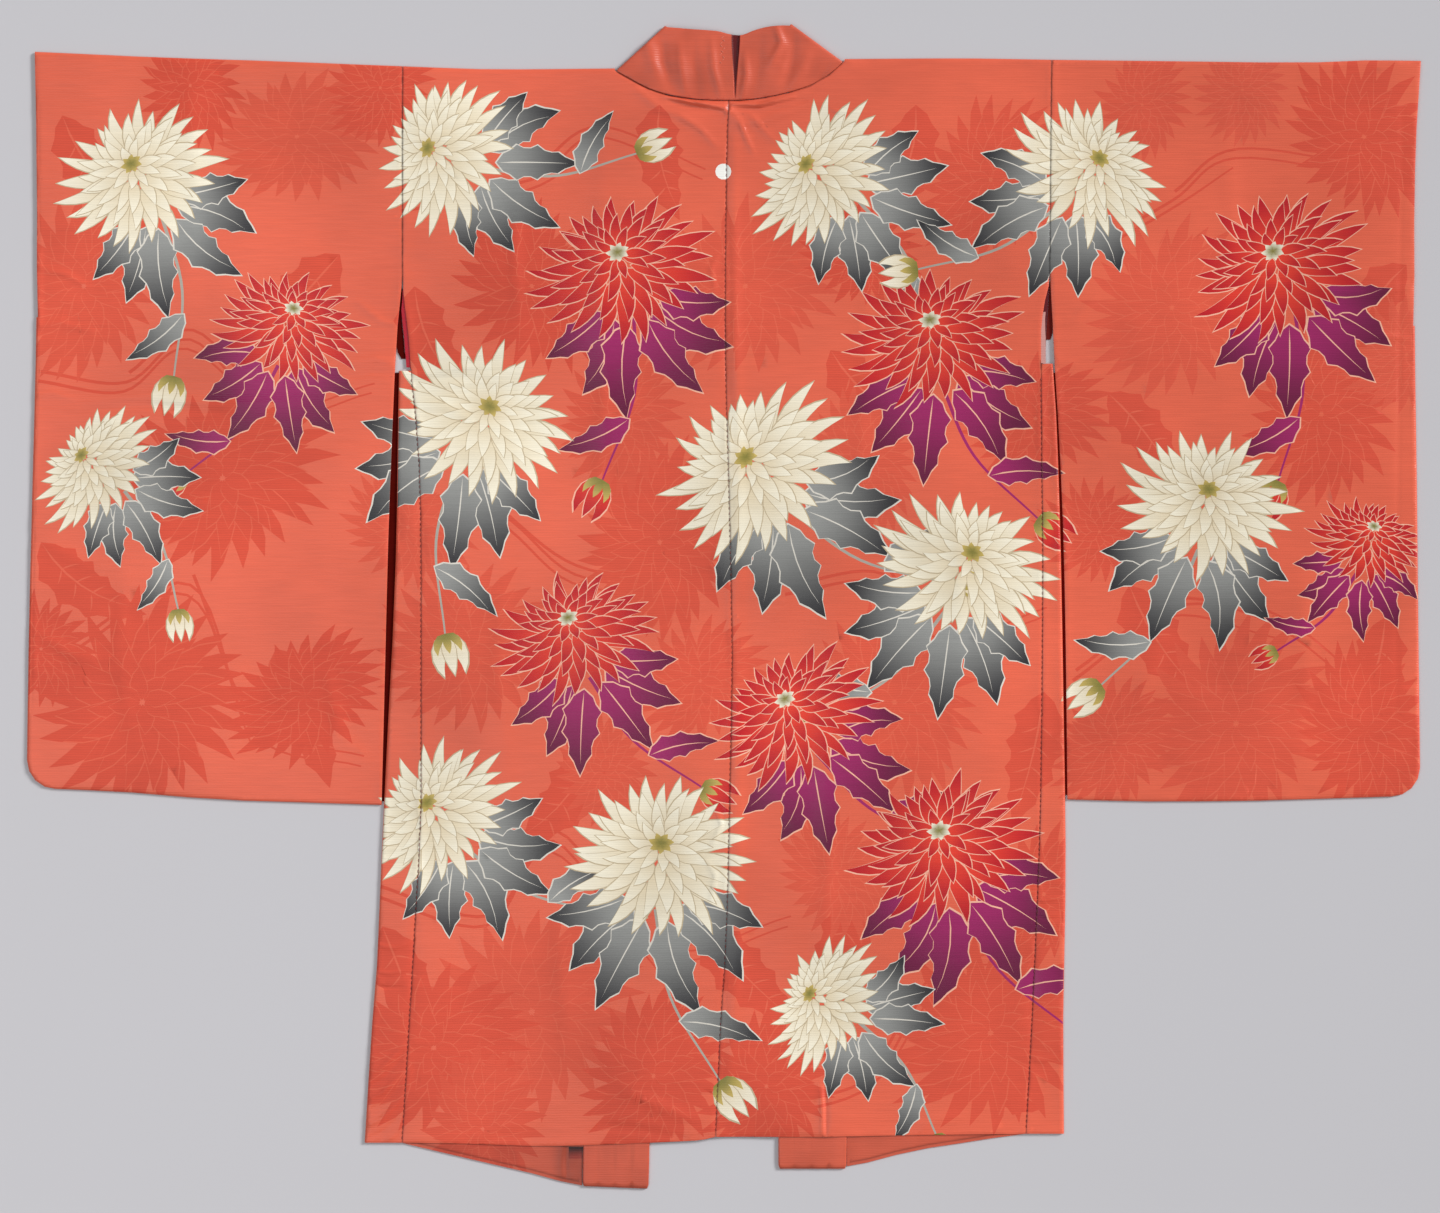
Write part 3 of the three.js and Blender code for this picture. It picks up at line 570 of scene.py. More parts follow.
def crease_guides(creases):
    """Lines along the sharp creases, so that the mesh can follow them."""
    starts, ends = [], []
    for crease in creases:
        if crease["width"] > SHARP:
            continue
        path = np.array(crease["points"], float)
        for a, b in zip(path[:-1], path[1:]):
            run = b - a
            side = square_to(run) / np.hypot(*run) * crease["width"]
            spots = a + run * np.linspace(0, 1, max(2, int(np.hypot(*run) / 4)))[:, None]
            for share in (-1.6, -0.8, 0, 0.8, 1.6):
                starts.append(spots[:-1] + side * share)
                ends.append(spots[1:] + side * share)
    return np.vstack(starts), np.vstack(ends)


def visible_sides(shapes):
    """The sides of all shapes, without those that lie under a later shape."""
    parts = [segments_of(s["outline"]) for s in shapes]
    p, q = (np.vstack(part) for part in zip(*parts))
    owner = np.repeat(np.arange(len(shapes)), [len(part[0]) for part in parts])
    shown = np.ones(len(p), bool)
    low, high = np.minimum(p, q), np.maximum(p, q)
    for k, item in enumerate(shapes):
        under = np.flatnonzero(shown & (owner < k) & (low > item["low_corner"]).all(1)
                               & (high < item["high_corner"]).all(1))
        if len(under):
            places = (p[under], q[under], (p[under] + q[under]) / 2)
            covered = np.all([inside(item["outline"], spots) for spots in places], axis=0)
            shown[under[covered]] = False
    return p[shown], q[shown]


def top_shapes(middles, near, low, high):
    """The number of the uppermost shape at each place of a tile, or -1."""
    owner = np.full(len(middles), -1)
    for number, item in reversed(near):
        if (item["low_corner"] > high).any() or (item["high_corner"] < low).any():
            continue
        free = np.flatnonzero(owner < 0)
        owner[free[inside(item["outline"], middles[free])]] = number
    return owner


def grid_of(low, fine_below):
    """The points of the even mesh in a tile. Above fine_below only the first row of tiles has some."""
    steps = np.append(np.arange(0, TILE, GRID), TILE)
    if low[1] < fine_below:
        return np.array([(s, t) for s in steps for t in steps]) + low
    return np.array([(s, 0) for s in steps if low[1] - TILE < fine_below] + [(0, TILE)]) + low


def fill_tile(low, high, outline, sides, fine_below):
    """Triangles that fill a tile and keep to the sides that cross it: points, triangles and their middles."""
    p, q = sides
    touching = ((np.minimum(p, q) <= high) & (np.maximum(p, q) >= low)).all(1)
    starts, ends = clip_segments(p[touching], q[touching], low, high)
    grid = grid_of(low, fine_below)
    grid = grid[inside(outline, grid)]
    corners = np.array([low, (high[0], low[1]), high, (low[0], high[1])])
    spots, back = np.unique(np.round(np.vstack([corners, starts, ends, grid]) - low, 5), axis=0,
                            return_inverse=True)
    numbers = back.reshape(-1)[4:4 + 2 * len(ends)].reshape(2, -1)
    edges = [(int(s), int(t)) for s, t in numbers.T if s != t]
    points, _, cells, *_ = delaunay_2d_cdt([Vector(s) for s in spots], edges, [], 0, SNAP, False)
    points, cells = np.array([v[:] for v in points]) + low, np.array(cells)
    middles = points[cells].mean(1)
    kept = inside(outline, middles)
    return points, cells[kept], middles[kept]


def cut_print(outline, shapes, shape_sides, rings, creases, fine_below):
    """Triangles that fill an outline, cut along every shape: points, triangles and the top shape of each.
    The mesh also follows rings inside the outline and the creases, and is fine below a height on the plan."""
    low, high = outline.min(0), outline.max(0)
    near = [(k, s) for k, s in enumerate(shapes)
            if (s["low_corner"] < high).all() and (s["high_corner"] > low).all()]
    sides = [segments_of(outline, RIM_STEP), shape_sides]
    sides += [segments_of(inset(outline, depth), RIM_STEP) for depth in rings]
    if creases:
        sides.append(crease_guides(creases))
    sides = [np.vstack(part) for part in zip(*sides)]
    ids, points, triangles, owners = {}, [], [], []

    def point_id(spot):
        key = (round(spot[0] * KEYS_PER_MM), round(spot[1] * KEYS_PER_MM))
        if key not in ids:
            ids[key] = len(points)
            points.append(spot)
        return ids[key]

    columns, rows = (range(math.floor(low[k] / TILE), math.floor(high[k] / TILE) + 1) for k in (0, 1))
    for i, j in itertools.product(columns, rows):
        first, last = np.array([i, j], float) * TILE, np.array([i + 1, j + 1], float) * TILE
        made, cells, middles = fill_tile(first, last, outline, sides, fine_below)
        for cell, top in zip(cells, top_shapes(middles, near, first, last)):
            corners = [point_id(made[v]) for v in cell]
            if len(set(corners)) == 3:
                triangles.append(corners)
                owners.append(top)
    return np.array(points), np.array(triangles), np.array(owners)


# ================= reading the solids =================

def solid_of(node):
    """A CAD node's welded points in millimetres, and its triangles."""
    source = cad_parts[node]
    mesh = source.data
    mesh.calc_loop_triangles()
    raw = np.array([(source.matrix_world @ v.co)[:] for v in mesh.vertices]) / MM
    keys, back = np.unique(np.round(raw, 2), axis=0, return_inverse=True)
    triangles = back.reshape(-1)[np.array([t.vertices[:] for t in mesh.loop_triangles])]
    points = np.zeros_like(keys)
    points[back.reshape(-1)] = raw
    return points, triangles


def normals_of(points, triangles):
    a, b, c = (points[triangles[:, k]] for k in range(3))
    n = np.cross(b - a, c - a)
    return n / np.maximum(np.linalg.norm(n, axis=1), 1e-12)[:, None]


def rim_of(triangles):
    """The outer loop of a patch of triangles, as point numbers in order."""
    edges = {}
    for t in triangles:
        for k in range(3):
            edges[(t[k], t[(k + 1) % 3])] = True
    following = {p: q for p, q in edges if (q, p) not in edges}
    start = min(following)
    loop, at = [start], following[start]
    while at != start:
        loop.append(at)
        at = following[at]
    if len(loop) != len(following):
        raise ValueError("the patch has more than one rim")
    return loop


class Relief:
    """The height of a patch of a solid, exact or with its facets softened."""

    def __init__(self, points, triangles):
        self.tree = BVHTree.FromPolygons([Vector(p) for p in points], [list(map(int, t)) for t in triangles])
        used = points[np.unique(triangles)]
        self.low = used[:, :2].min(0) - RASTER
        count = np.ceil((used[:, :2].max(0) + RASTER - self.low) / RASTER).astype(int) + 1
        height, weight = np.zeros(count), np.zeros(count)
        for i in range(count[0]):
            for j in range(count[1]):
                z = self.exact(self.low[0] + i * RASTER, self.low[1] + j * RASTER)
                if not math.isnan(z):
                    height[i, j], weight[i, j] = z, 1
        reach = int(3 * SMOOTHING / RASTER)
        kernel = np.exp(-0.5 * (np.arange(-reach, reach + 1) * RASTER / SMOOTHING) ** 2)
        for axis in (0, 1):
            height = np.apply_along_axis(np.convolve, axis, height, kernel, "same")
            weight = np.apply_along_axis(np.convolve, axis, weight, kernel, "same")
        self.soft = height / np.maximum(weight, 1e-6)

    def exact(self, x, y):
        hit = self.tree.ray_cast(Vector((x, y, 100)), Vector((0, 0, -1)))
        return np.nan if hit[0] is None else hit[0].z

    def softened(self, plan):
        u = (plan - self.low) / RASTER
        i = np.clip(u.astype(int), 0, np.array(self.soft.shape) - 2)
        s, t = (u - i).T
        return blend(lambda a, b: self.soft[i[:, 0] + a, i[:, 1] + b], s, t)


# ================= creases =================
# Each crease is a soft ridge (height above 0) or trough (below 0) along a few points.
CREASES = table("width height points",
    # gathers under the neck seam
    (2.2, 3.6, ((-58, 479), (-26, 472), (5, 467))),
    (2.4, -1.6, ((-52, 473), (-22, 466), (6, 461))),
    (2.2, 3.0, ((7, 471), (34, 470), (66, 478))),
    (2.2, -1.6, ((6, 466), (34, 465), (78, 475))),
    (4.0, 1.2, ((-86, 488), (-60, 466), (-14, 450))),
    (4.0, 1.3, ((14, 452), (40, 456), (88, 474))),
    (3.2, 1.3, ((-40, 458), (-20, 446), (-6, 430))),
    (2.8, 1.4, ((12, 460), (18, 446), (28, 424))),
    (3.0, 1.0, ((24, 462), (34, 450), (48, 436))),
    (1.8, 0.8, ((100, 466), (108, 463), (116, 465))),
    # the band at the neck
    (6.5, 2.0, ((-76, 546), (-72, 526), (-64, 500))),
    (6.0, -2.0, ((-58, 530), (-57, 510), (-50, 486))),
    (4.5, 1.6, ((-42, 528), (-40, 504), (-36, 480))),
    (5.0, -1.1, ((-28, 534), (-28, 512), (-24, 478))),
    (4.0, 1.5, ((-12, 532), (-10, 505), (-3, 478))),
    (4.0, 1.9, ((20, 518), (21, 498), (17, 476))),
    (5.0, -1.0, ((35, 532), (33, 505), (28, 478))),
    (4.0, 2.0, ((48, 546), (54, 528), (44, 508))),
    (5.0, -1.5, ((66, 536), (64, 514), (56, 488))),
    (5.0, 1.2, ((80, 522), (74, 504), (62, 486))),
    (4.0, -1.0, ((98, 506), (90, 494), (80, 484))),
    # along the centre seam
    (4.5, 0.8, ((9, 440), (11, 300), (14, 160), (16, -40))),
    (4.5, 0.7, ((16, -30), (14, -200), (13, -330), (5, -460))),
    (2.6, 1.1, ((-9, -186), (-2, -204), (-12, -226))),
    (2.8, 1.0, ((-16, -238), (-8, -252), (-13, -284))),
    (2.6, 0.7, ((-5, 330), (-12, 316), (-8, 296))),
    (2.8, 0.7, ((-4, 60), (-10, 40), (-7, 18))),
    # the hem
    (6, 1.5, ((-14, -486), (-56, -470), (-96, -452))),
    (4.6, -1.0, ((-30, -500), (-74, -492), (-118, -486))),
    (1.6, -1.2, ((96, -506), (96, -470), (94, -444))),
    (2.2, 1.1, ((92, -504), (92, -470), (90, -448))),
    (5, 0.8, ((180, -494), (196, -482), (226, -478))),
    (5, 0.7, ((-230, -500), (-210, -488), (-170, -484))),
    # from the armholes
    (3.6, 0.9, ((-299, 214), (-266, 222), (-222, 226))),
    (3.2, -0.8, ((-299, 208), (-262, 214), (-232, 214))),
    (5, 0.7, ((-296, 190), (-262, 188), (-236, 176))),
    (4, 0.9, ((296, 220), (262, 230), (214, 234))),
    (4, -0.7, ((294, 206), (258, 212), (230, 208))),
    (3.4, 0.9, ((-303, 262), (-322, 268), (-344, 286))),
    (3.4, 0.9, ((-304, 226), (-326, 232), (-352, 228))),
    (3.2, -0.7, ((-304, 218), (-330, 220), (-350, 214))),
    (4, 0.9, ((307, 262), (330, 270), (352, 292))),
    (4, 0.8, ((306, 226), (330, 228), (356, 238))),
    # long soft folds from hanging
    (6, 1.1, ((-193, 404), (-196, 340), (-192, 262))),
    (7, 0.9, ((-112, 430), (-118, 320), (-112, 200), (-120, 60))),
    (8, 0.8, ((-206, 60), (-212, -60), (-202, -180))),
    (7, 0.8, ((128, 380), (134, 250), (126, 120))),
    (8, 0.9, ((214, 130), (222, 0), (212, -140))),
    (8, 0.8, ((92, -120), (98, -250), (90, -360))),
    (8, 0.8, ((-150, -200), (-156, -300), (-146, -420))),
    # the sleeves
    (5, 0.9, ((-600, 192), (-540, 197), (-470, 189), (-400, 194))),
    (4, -0.6, ((-600, 184), (-540, 188), (-470, 181))),
    (3.4, 0.9, ((-648, 318), (-618, 312), (-596, 300))),
    (3.4, 0.9, ((-650, 262), (-622, 266), (-590, 258))),
    (3.0, 0.8, ((-650, 196), (-630, 200), (-608, 194))),
    (6, 0.9, ((-640, 60), (-600, 40), (-566, 36))),
    (6, 0.9, ((-650, -20), (-610, -46), (-560, -60))),
    (6, 0.9, ((-330, -150), (-360, -120), (-372, -60))),
    (8, 0.8, ((-500, 480), (-496, 380), (-504, 290))),
    (8, 0.8, ((-560, 60), (-566, -40), (-556, -120))),
    (4, 0.9, ((646, 300), (600, 292), (556, 300))),
    (3.6, 0.8, ((646, 250), (612, 254), (590, 246))),
    (6, 0.9, ((642, 80), (606, 66), (570, 70))),
    (7, 0.9, ((340, -120), (390, -90), (410, -20))),
    (8, 0.8, ((470, 470), (476, 360), (466, 260))),
    (8, 0.8, ((540, 40), (546, -60), (536, -130))),
    # the gussets
    (2.0, 0.9, ((-332, -318), (-308, -320), (-296, -316))),
    (2.0, 0.8, ((-333, -342), (-312, -344), (-297, -340))),
    (1.8, -0.8, ((-333, -354), (-316, -358), (-300, -357))),
    (2.4, 1.0, ((-334, -440), (-320, -432), (-300, -412))),
    (2.2, -0.7, ((-335, -452), (-318, -442), (-302, -424))),
    (2.2, 1.1, ((-336, -464), (-320, -456), (-302, -438))),
    (2.0, -0.7, ((-336, -474), (-320, -466), (-303, -450))),
    (2.4, 1.3, ((-337, -488), (-320, -480), (-303, -462))),
    (2.2, -0.7, ((-337, -500), (-322, -494), (-305, -480))),
    (2.0, 0.9, ((-333, -508), (-320, -504), (-306, -494))),
    (2.0, 0.8, ((318, -272), (300, -276), (290, -274))),
    (2.0, -0.7, ((318, -292), (302, -294), (290, -288))),
    (2.6, 0.7, ((316, -420), (300, -426), (284, -424))),
    # turned-in edges of the sleeve ends
    (2.6, -0.5, ((-643, 470), (-645, 300), (-648, 100), (-650, -100))),
    (3.0, 0.4, ((-640, 470), (-642, 300), (-645, 100), (-647, -100))),
    (2.8, -0.4, ((636, 470), (634, 300), (632, 100), (630, -100))))
# folds in the facing that shows below the back's hem
FACING_CREASES = table("width height points",
    (2.2, -0.8, ((-147, -505), (-148, -525), (-147, -542))),
    (2.6, 0.5, ((-152, -505), (-153, -522), (-152, -538))),
    (3.4, 0.4, ((-196, -508), (-192, -520), (-194, -532))),
    (2.6, 0.5, ((176, -506), (172, -516), (170, -526))),
    (2.6, -0.4, ((226, -500), (224, -508), (226, -514))))
HEM_LINE = 3.2                     # the sewn line of the facing, from its edge
FACING_RINGS = (1.2, 2.5, 3.2, 3.9, 5.5)


def unevenness(plan):
    """The soft waves of silk that has hung and been folded."""
    x, y = plan.T
    return (0.75 * value_noise(x, y, 74, 1) + 0.26 * value_noise(x, y, 27, 2)
            + 0.48 * value_noise(x, y * 0.3, 36, 3))


def crease_height(plan, creases):
    """The height that the creases add at some plan points."""
    total = np.zeros(len(plan))
    for crease in creases:
        path = np.array(crease["points"], float)
        lengths = np.hypot(*np.diff(path, axis=0).T)
        starts = np.concatenate([[0], np.cumsum(lengths)])
        best, share = np.full(len(plan), 1e9), np.zeros(len(plan))
        reach = 4 * crease["width"]
        near = ((plan > path.min(0) - reach) & (plan < path.max(0) + reach)).all(1)
        if not near.any():
            continue
        spots = plan[near]
        for k, (a, b) in enumerate(zip(path[:-1], path[1:])):
            t = np.clip((spots - a) @ (b - a) / lengths[k] ** 2, 0, 1)
            gap = np.linalg.norm(spots - a - t[:, None] * (b - a), axis=1)
            closer = gap < best[near]
            where = np.flatnonzero(near)[closer]
            best[where] = gap[closer]
            share[where] = (starts[k] + t[closer] * lengths[k]) / starts[-1]
        fade = np.sin(np.pi * np.clip(0.06 + 0.88 * share, 0, 1)) ** 0.7
        total += crease["height"] * fade * np.exp(-(best / crease["width"]) ** 2)
    return total


def pucker(plan, gap):
    """Small waves where a seam draws the cloth in; gap is the distance to the seam."""
    x, y = plan.T
    close = 0.40 * np.exp(-gap / 4.5) * value_noise(x, y, 8, 4)
    return close + 0.36 * np.exp(-gap / 10.0) * value_noise(x, y, 17, 5)


# ================= dressing a node =================

def paint(mesh, colours, figures):
    """Give a mesh a colour at each corner of its faces and a woven figure on each face."""
    tint = mesh.attributes.new("tint", "FLOAT_COLOR", "CORNER")
    flat = np.ones((len(mesh.loops), 4), np.float32)
    flat[:, :3] = colours
    tint.data.foreach_set("color", flat.ravel())
    figure = mesh.attributes.new("figure", "FLOAT", "FACE")
    figure.data.foreach_set("value", np.array(figures, np.float32))


class Cloth:
    """Gathers faces with their colours and makes one closed object."""

    def __init__(self):
        self.points, self.faces, self.colours, self.figures = [], [], [], []

    def add(self, points, faces, colours, figures):
        base = len(self.points)
        self.points += [tuple(p) for p in points]
        self.faces += [[base + int(i) for i in face] for face in faces]
        self.colours += colours
        self.figures += figures

    def object(self, name, material):
        mesh = bpy.data.meshes.new(name)
        mesh.from_pydata([tuple(c * MM for c in p) for p in self.points], [], self.faces)
        corners = [np.asarray(c, np.float32).reshape(-1, 3) for c in self.colours]
        paint(mesh, np.concatenate(corners), self.figures)
        work = bmesh.new()
        work.from_mesh(mesh)
        bmesh.ops.remove_doubles(work, verts=work.verts, dist=WELD * MM)
        for face in work.faces:
            face.smooth = True
        for edge in work.edges:
            if len(edge.link_faces) == 2 and edge.calc_face_angle() > RIM_ANGLE:
                edge.smooth = False
        work.to_mesh(mesh)
        work.free()
        mesh.materials.append(material)
        return placed(name, mesh)


def rim_spots(points, loop, step=1.5):
    """Places along a rim, in millimetres."""
    spots = []
    for p, q in zip(loop, loop[1:] + loop[:1]):
        a, b = points[p], points[q]
        count = math.ceil(np.hypot(*(b - a)[:2]) / step)
        spots += [a + (b - a) * k / count for k in range(count)]
    return np.array(spots)


def distance_to(spots, plan):
    """How far plan points are from the nearest of some places."""
    if not len(spots):
        return np.full(len(plan), 99.0)
    tree = KDTree(len(spots))
    for k, spot in enumerate(spots):
        tree.insert((spot[0], spot[1], 0), k)
    tree.balance()
    return np.array([tree.find((p[0], p[1], 0))[2] for p in plan])


def neighbours_of(name):
    """A search tree over all the other solids."""
    points, triangles = [], []
    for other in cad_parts:
        if other != name:
            p, t = solid_of(other)
            triangles += (t + len(points)).tolist()
            points += p.tolist()
    return BVHTree.FromPolygons([Vector(p) for p in points], triangles)


def fit_rim(points, loop, plan, height, gap, edge, cells):
    """Put the points on a patch's rim at the height of its straight sides. Gives which cells to keep, what
    the walls beside the rim get between their corners, and the new heights of those corners."""
    close = np.flatnonzero(gap < NEAR_RIM)
    kept = np.ones(len(cells), bool)
    inserted, moved = {}, {}
    for p, q in zip(loop, loop[1:] + loop[:1]):
        a, b = points[p], points[q]
        run = (b - a)[:2]
        length = np.hypot(*run)
        share = (plan[close] - a[:2]) @ run / length ** 2
        off = np.abs((plan[close] - a[:2]) @ square_to(run)) / length
        slack = ON_RIM / length
        on = (off < ON_RIM) & (share > -slack) & (share < 1 + slack)
        for index, t in zip(close[on], share[on]):
            height[index] = a[2] + (b[2] - a[2]) * t + edge[index]
            if abs(t) < slack:
                moved[p] = height[index]
        between = sorted((t, index) for index, t in zip(close[on], share[on]) if slack <= t <= 1 - slack)
        inserted[(q, p)] = [np.append(plan[index], height[index]) for _, index in between][::-1]
        kept &= ~np.isin(cells, close[on]).all(1)
    return kept, inserted, moved


def cell_colours(patch, plan, cells, owners, tone):
    """The colours at each cell's corners, and its woven figure."""
    colours, figures = [], []
    for cell, owner in zip(cells, owners):
        if owner < 0:
            colour, figure = patch["ground"](plan[cell]), 0.0
        else:
            item = patch["shapes"][owner]
            colour, figure = shape_colours(item, plan[cell]), item["figure"]
        colours.append(colour * tone[cell])
        figures.append(figure)
    return colours, figures


def is_sewn(others, place):
    """Whether another solid is so close to a place that there is a seam."""
    return others.find_nearest(Vector(place), SEAM_REACH)[0] is not None


def dress_patch(cloth, patch, points, triangles, others):
    """Add a patch of a solid to the cloth, finely cut. Gives what the walls beside it get between their
    corners, the new heights of those corners, and the places along its seams."""
    loop = rim_of(triangles)
    outline = points[loop][:, :2]
    below = patch["below"]
    plan, cells, owners = cut_print(outline[::-1] if below else outline, patch["shapes"], patch["sides"],
                                    patch["rings"], patch["creases"], patch["fine_below"])
    spots = rim_spots(points, loop)
    sewn = np.array([is_sewn(others, spot) for spot in spots])
    ahead = np.abs(np.roll(spots, -1, 0) - spots)
    loose = ~sewn & (ahead[:, 0] > ahead[:, 1]) if patch["hems_only"] else ~sewn
    gap, seam_gap, free_gap = (distance_to(some, plan) for some in (spots, spots[sewn], spots[loose]))
    relief = Relief(points, triangles)
    soft = relief.softened(plan)
    exact = np.array([relief.exact(*p) for p in plan])
    exact = np.where(np.isnan(exact), soft, exact)
    height = mix(exact, soft, smooth(0, SOFT_FROM, gap)) + patch["relief"](plan, seam_gap, free_gap)
    height = np.maximum(height, exact - DEEPEST)
    edge = -patch["roll"] * np.where(seam_gap < 1, SEAM_DEPTH, EDGE_DEPTH)
    kept, inserted, moved = fit_rim(points, loop, plan, height, gap, edge, cells)
    cells, owners = cells[kept], owners[kept]
    tone = patch["tone"](plan, seam_gap, free_gap)[:, None]
    colours, figures = cell_colours(patch, plan, cells, owners, tone)
    if below:
        cells = cells[:, ::-1]
        colours = [c[::-1] for c in colours]
    cloth.add(np.column_stack([plan, height]), cells, colours, figures)
    return inserted, moved, spots[sewn]


def dress(name, material, patches, plain, seams):
    """Rebuild a node's solid with finely cut surfaces. patches choose faces; plain colours the rest.
    Places along the seams of the first patch are kept in seams."""
    points, triangles = solid_of(name)
    normals = normals_of(points, triangles)
    middles = points[triangles].mean(1)
    others = neighbours_of(name)
    cloth = Cloth()
    taken = np.zeros(len(triangles), bool)
    inserted, moved = {}, {}
    for patch in patches:
        chosen = patch["choose"](normals, middles) & ~taken
        taken |= chosen
        between, corners, seam = dress_patch(cloth, patch, points, triangles[chosen], others)
        inserted.update(between)
        moved.update(corners)
        seams.setdefault(name, seam)

    for index in np.flatnonzero(~taken):
        face = []
        corners = triangles[index]
        for p, q in zip(corners, np.roll(corners, -1)):
            face.append(np.append(points[p][:2], moved.get(p, points[p][2])))
            face += inserted.get((p, q), [])
        colour = plain(normals[index], middles[index], is_sewn(others, middles[index]))
        cloth.add(face, [range(len(face))], [np.tile(colour, (len(face), 1))], [0.0])
    return cloth.object(name + "_silk", material)


# ================= materials =================

class Nodes:
    """Short hand for building a material's nodes."""

    def __init__(self, name, roughness, **sockets):
        self.material = bpy.data.materials.new(name)
        self.material.use_nodes = True
        self.tree = self.material.node_tree
        self.shader = self.tree.nodes["Principled BSDF"]
        self.shader.inputs["Roughness"].default_value = roughness
        for socket, value in sockets.items():
            self.shader.inputs[socket.replace("_", " ")].default_value = value
        self.place = self.add("ShaderNodeTexCoord").outputs["Object"]

    def add(self, kind, inputs=None, **settings):
        node = self.tree.nodes.new(kind)
        for key, value in settings.items():
            setattr(node, key, value)
        for key, value in (inputs or {}).items():
            if isinstance(value, bpy.types.NodeSocket):
                self.tree.links.new(value, node.inputs[key])
            else:
                node.inputs[key].default_value = value
        return node

    def noise(self, scale, detail, stretch=(1, 1, 1)):
        place = self.add("ShaderNodeMapping", {"Vector": self.place, "Scale": stretch}).outputs[0]
        made = self.add("ShaderNodeTexNoise", {"Vector": place, "Scale": scale, "Detail": detail})
        return made.outputs["Fac"]

    def waves(self, direction, scale, distortion, detail_scale=0.5):
        made = self.add("ShaderNodeTexWave", {"Vector": self.place, "Scale": scale, "Distortion": distortion,
                                              "Detail Scale": detail_scale}, bands_direction=direction)
        return made.outputs["Fac"]

    def range(self, value, low, high):
        made = self.add("ShaderNodeMapRange", {"Value": value, "To Min": low, "To Max": high})
        return made.outputs["Result"]

    def attribute(self, name, output):
        return self.add("ShaderNodeAttribute", attribute_name=name, attribute_type="GEOMETRY").outputs[output]

    def paint(self, colour, factor):
        """Drive the base colour by a colour, lighter or darker by a factor."""
        made = self.add("ShaderNodeVectorMath", {0: colour, "Scale": factor}, operation="SCALE")
        self.tree.links.new(made.outputs[0], self.shader.inputs["Base Color"])

    def plain(self, colour):
        made = self.add("ShaderNodeRGB")
        made.outputs[0].default_value = (*colour, 1)
        return made.outputs[0]

    def sum(self, a, b, operation="ADD"):
        return self.add("ShaderNodeMath", {0: a, 1: b}, operation=operation).outputs[0]

    def bump(self, height, strength, distance):
        made = self.add("ShaderNodeBump", {"Height": height, "Strength": strength, "Distance": distance})
        self.tree.links.new(made.outputs["Normal"], self.shader.inputs["Normal"])


def silk():
    """Printed satin with fine ribs across it; the tint and the woven figure come with the mesh."""
    made = Nodes("silk", 0.42, **{"Sheen_Weight": 0.06, "Sheen_Roughness": 0.35, "Specular_IOR_Level": 0.38})
    tint = made.attribute("tint", "Color")
    figure = made.attribute("figure", "Fac")
    # broad clouds of lighter and darker silk: uneven tone and painted sheen
    tone_and_painted_sheen = made.range(made.noise(5, 3), 0.66, 1.34)
    threads = made.range(made.noise(60, 3, (0.5, 9, 1.0)), 0.89, 1.11)
    ribs = made.waves("Y", RIB_SCALE, 2.4)
    figured = made.sum(figure, made.range(made.noise(11, 2), -0.6, 1.1), "MULTIPLY")
    ribbing = made.sum(made.range(figured, 0.02, 0.20), made.sum(ribs, 0.5, "SUBTRACT"), "MULTIPLY")
    tones = made.sum(made.sum(tone_and_painted_sheen, threads, "MULTIPLY"), made.sum(ribbing, 1.0), "MULTIPLY")
    made.paint(tint, tones)
    made.tree.links.new(made.range(figure, 0.36, 0.55), made.shader.inputs["Roughness"])
    weave = made.noise(900, 1, (1, 1.6, 1))
    soft = made.noise(34, 2, (0.45, 1.3, 1))
    cloth = made.sum(made.range(ribs, 0, 0.35), made.range(weave, 0, 0.3))
    made.bump(made.sum(cloth, made.range(soft, 0, 3.0)), 0.55, 0.0004)
    return made.material


def lining_silk():
    """The dull silk deep in the gaps, painted dark as shade; its tint comes with the mesh."""
    made = Nodes("lining_silk", 0.95, **{"Specular_IOR_Level": 0.0})
    made.paint(made.attribute("tint", "Color"), made.range(made.noise(60, 3, (0.5, 9, 1.0)), 0.80, 1.20))
    return made.material


def thread(name, colour):
    """A twisted silk thread."""
    made = Nodes(name, 0.5, **{"Sheen_Weight": 0.2})
    twist = made.waves("DIAGONAL", TWIST_SCALE, 0.6, 1.0)
    made.paint(made.plain(colour), made.range(twist, 0.75, 1.1))
    made.bump(twist, 0.4, 0.0002)
    return made.material


def floor_paper():
    """Smooth pale grey paper."""
    made = Nodes("floor_paper", 0.85, **{"Specular_IOR_Level": 0.2})
    made.paint(made.plain(FLOOR_GREY), made.range(made.noise(2.2, 3), 0.985, 1.015))
    made.bump(made.noise(420, 2), 0.05, 0.0002)
    return made.material


# ================= the pieces =================

def top_faces(normals, middles):
    return (normals[:, 2] > FLAT_TOP) & (middles[:, 2] > BACK_ABOVE)


def facing_faces(normals, middles):
    return (normals[:, 2] > FLAT_TOP) & (middles[:, 2] < BACK_ABOVE)


def under_faces(normals, middles):
    return (normals[:, 2] < -FLAT_TOP) & (middles[:, 2] < FRONT_FACE / 2)


def top_relief(plan, seam_gap, free_gap):
    """What the silk adds to the solid's top: creases, puckers at the seams and rolled edges."""
    gap = np.minimum(seam_gap, free_gap)
    folds = crease_height(plan, CREASES) * smooth(0, 4, gap) + unevenness(plan) * smooth(0, 8, gap)
    roll = np.where(seam_gap <= free_gap + 0.3, SEAM_DEPTH, EDGE_DEPTH) * smooth(ROLL, 0, gap)
    waves = (pucker(plan, seam_gap) + pucker(plan, free_gap)) * smooth(0, 2.5, gap)
    return folds + waves - roll


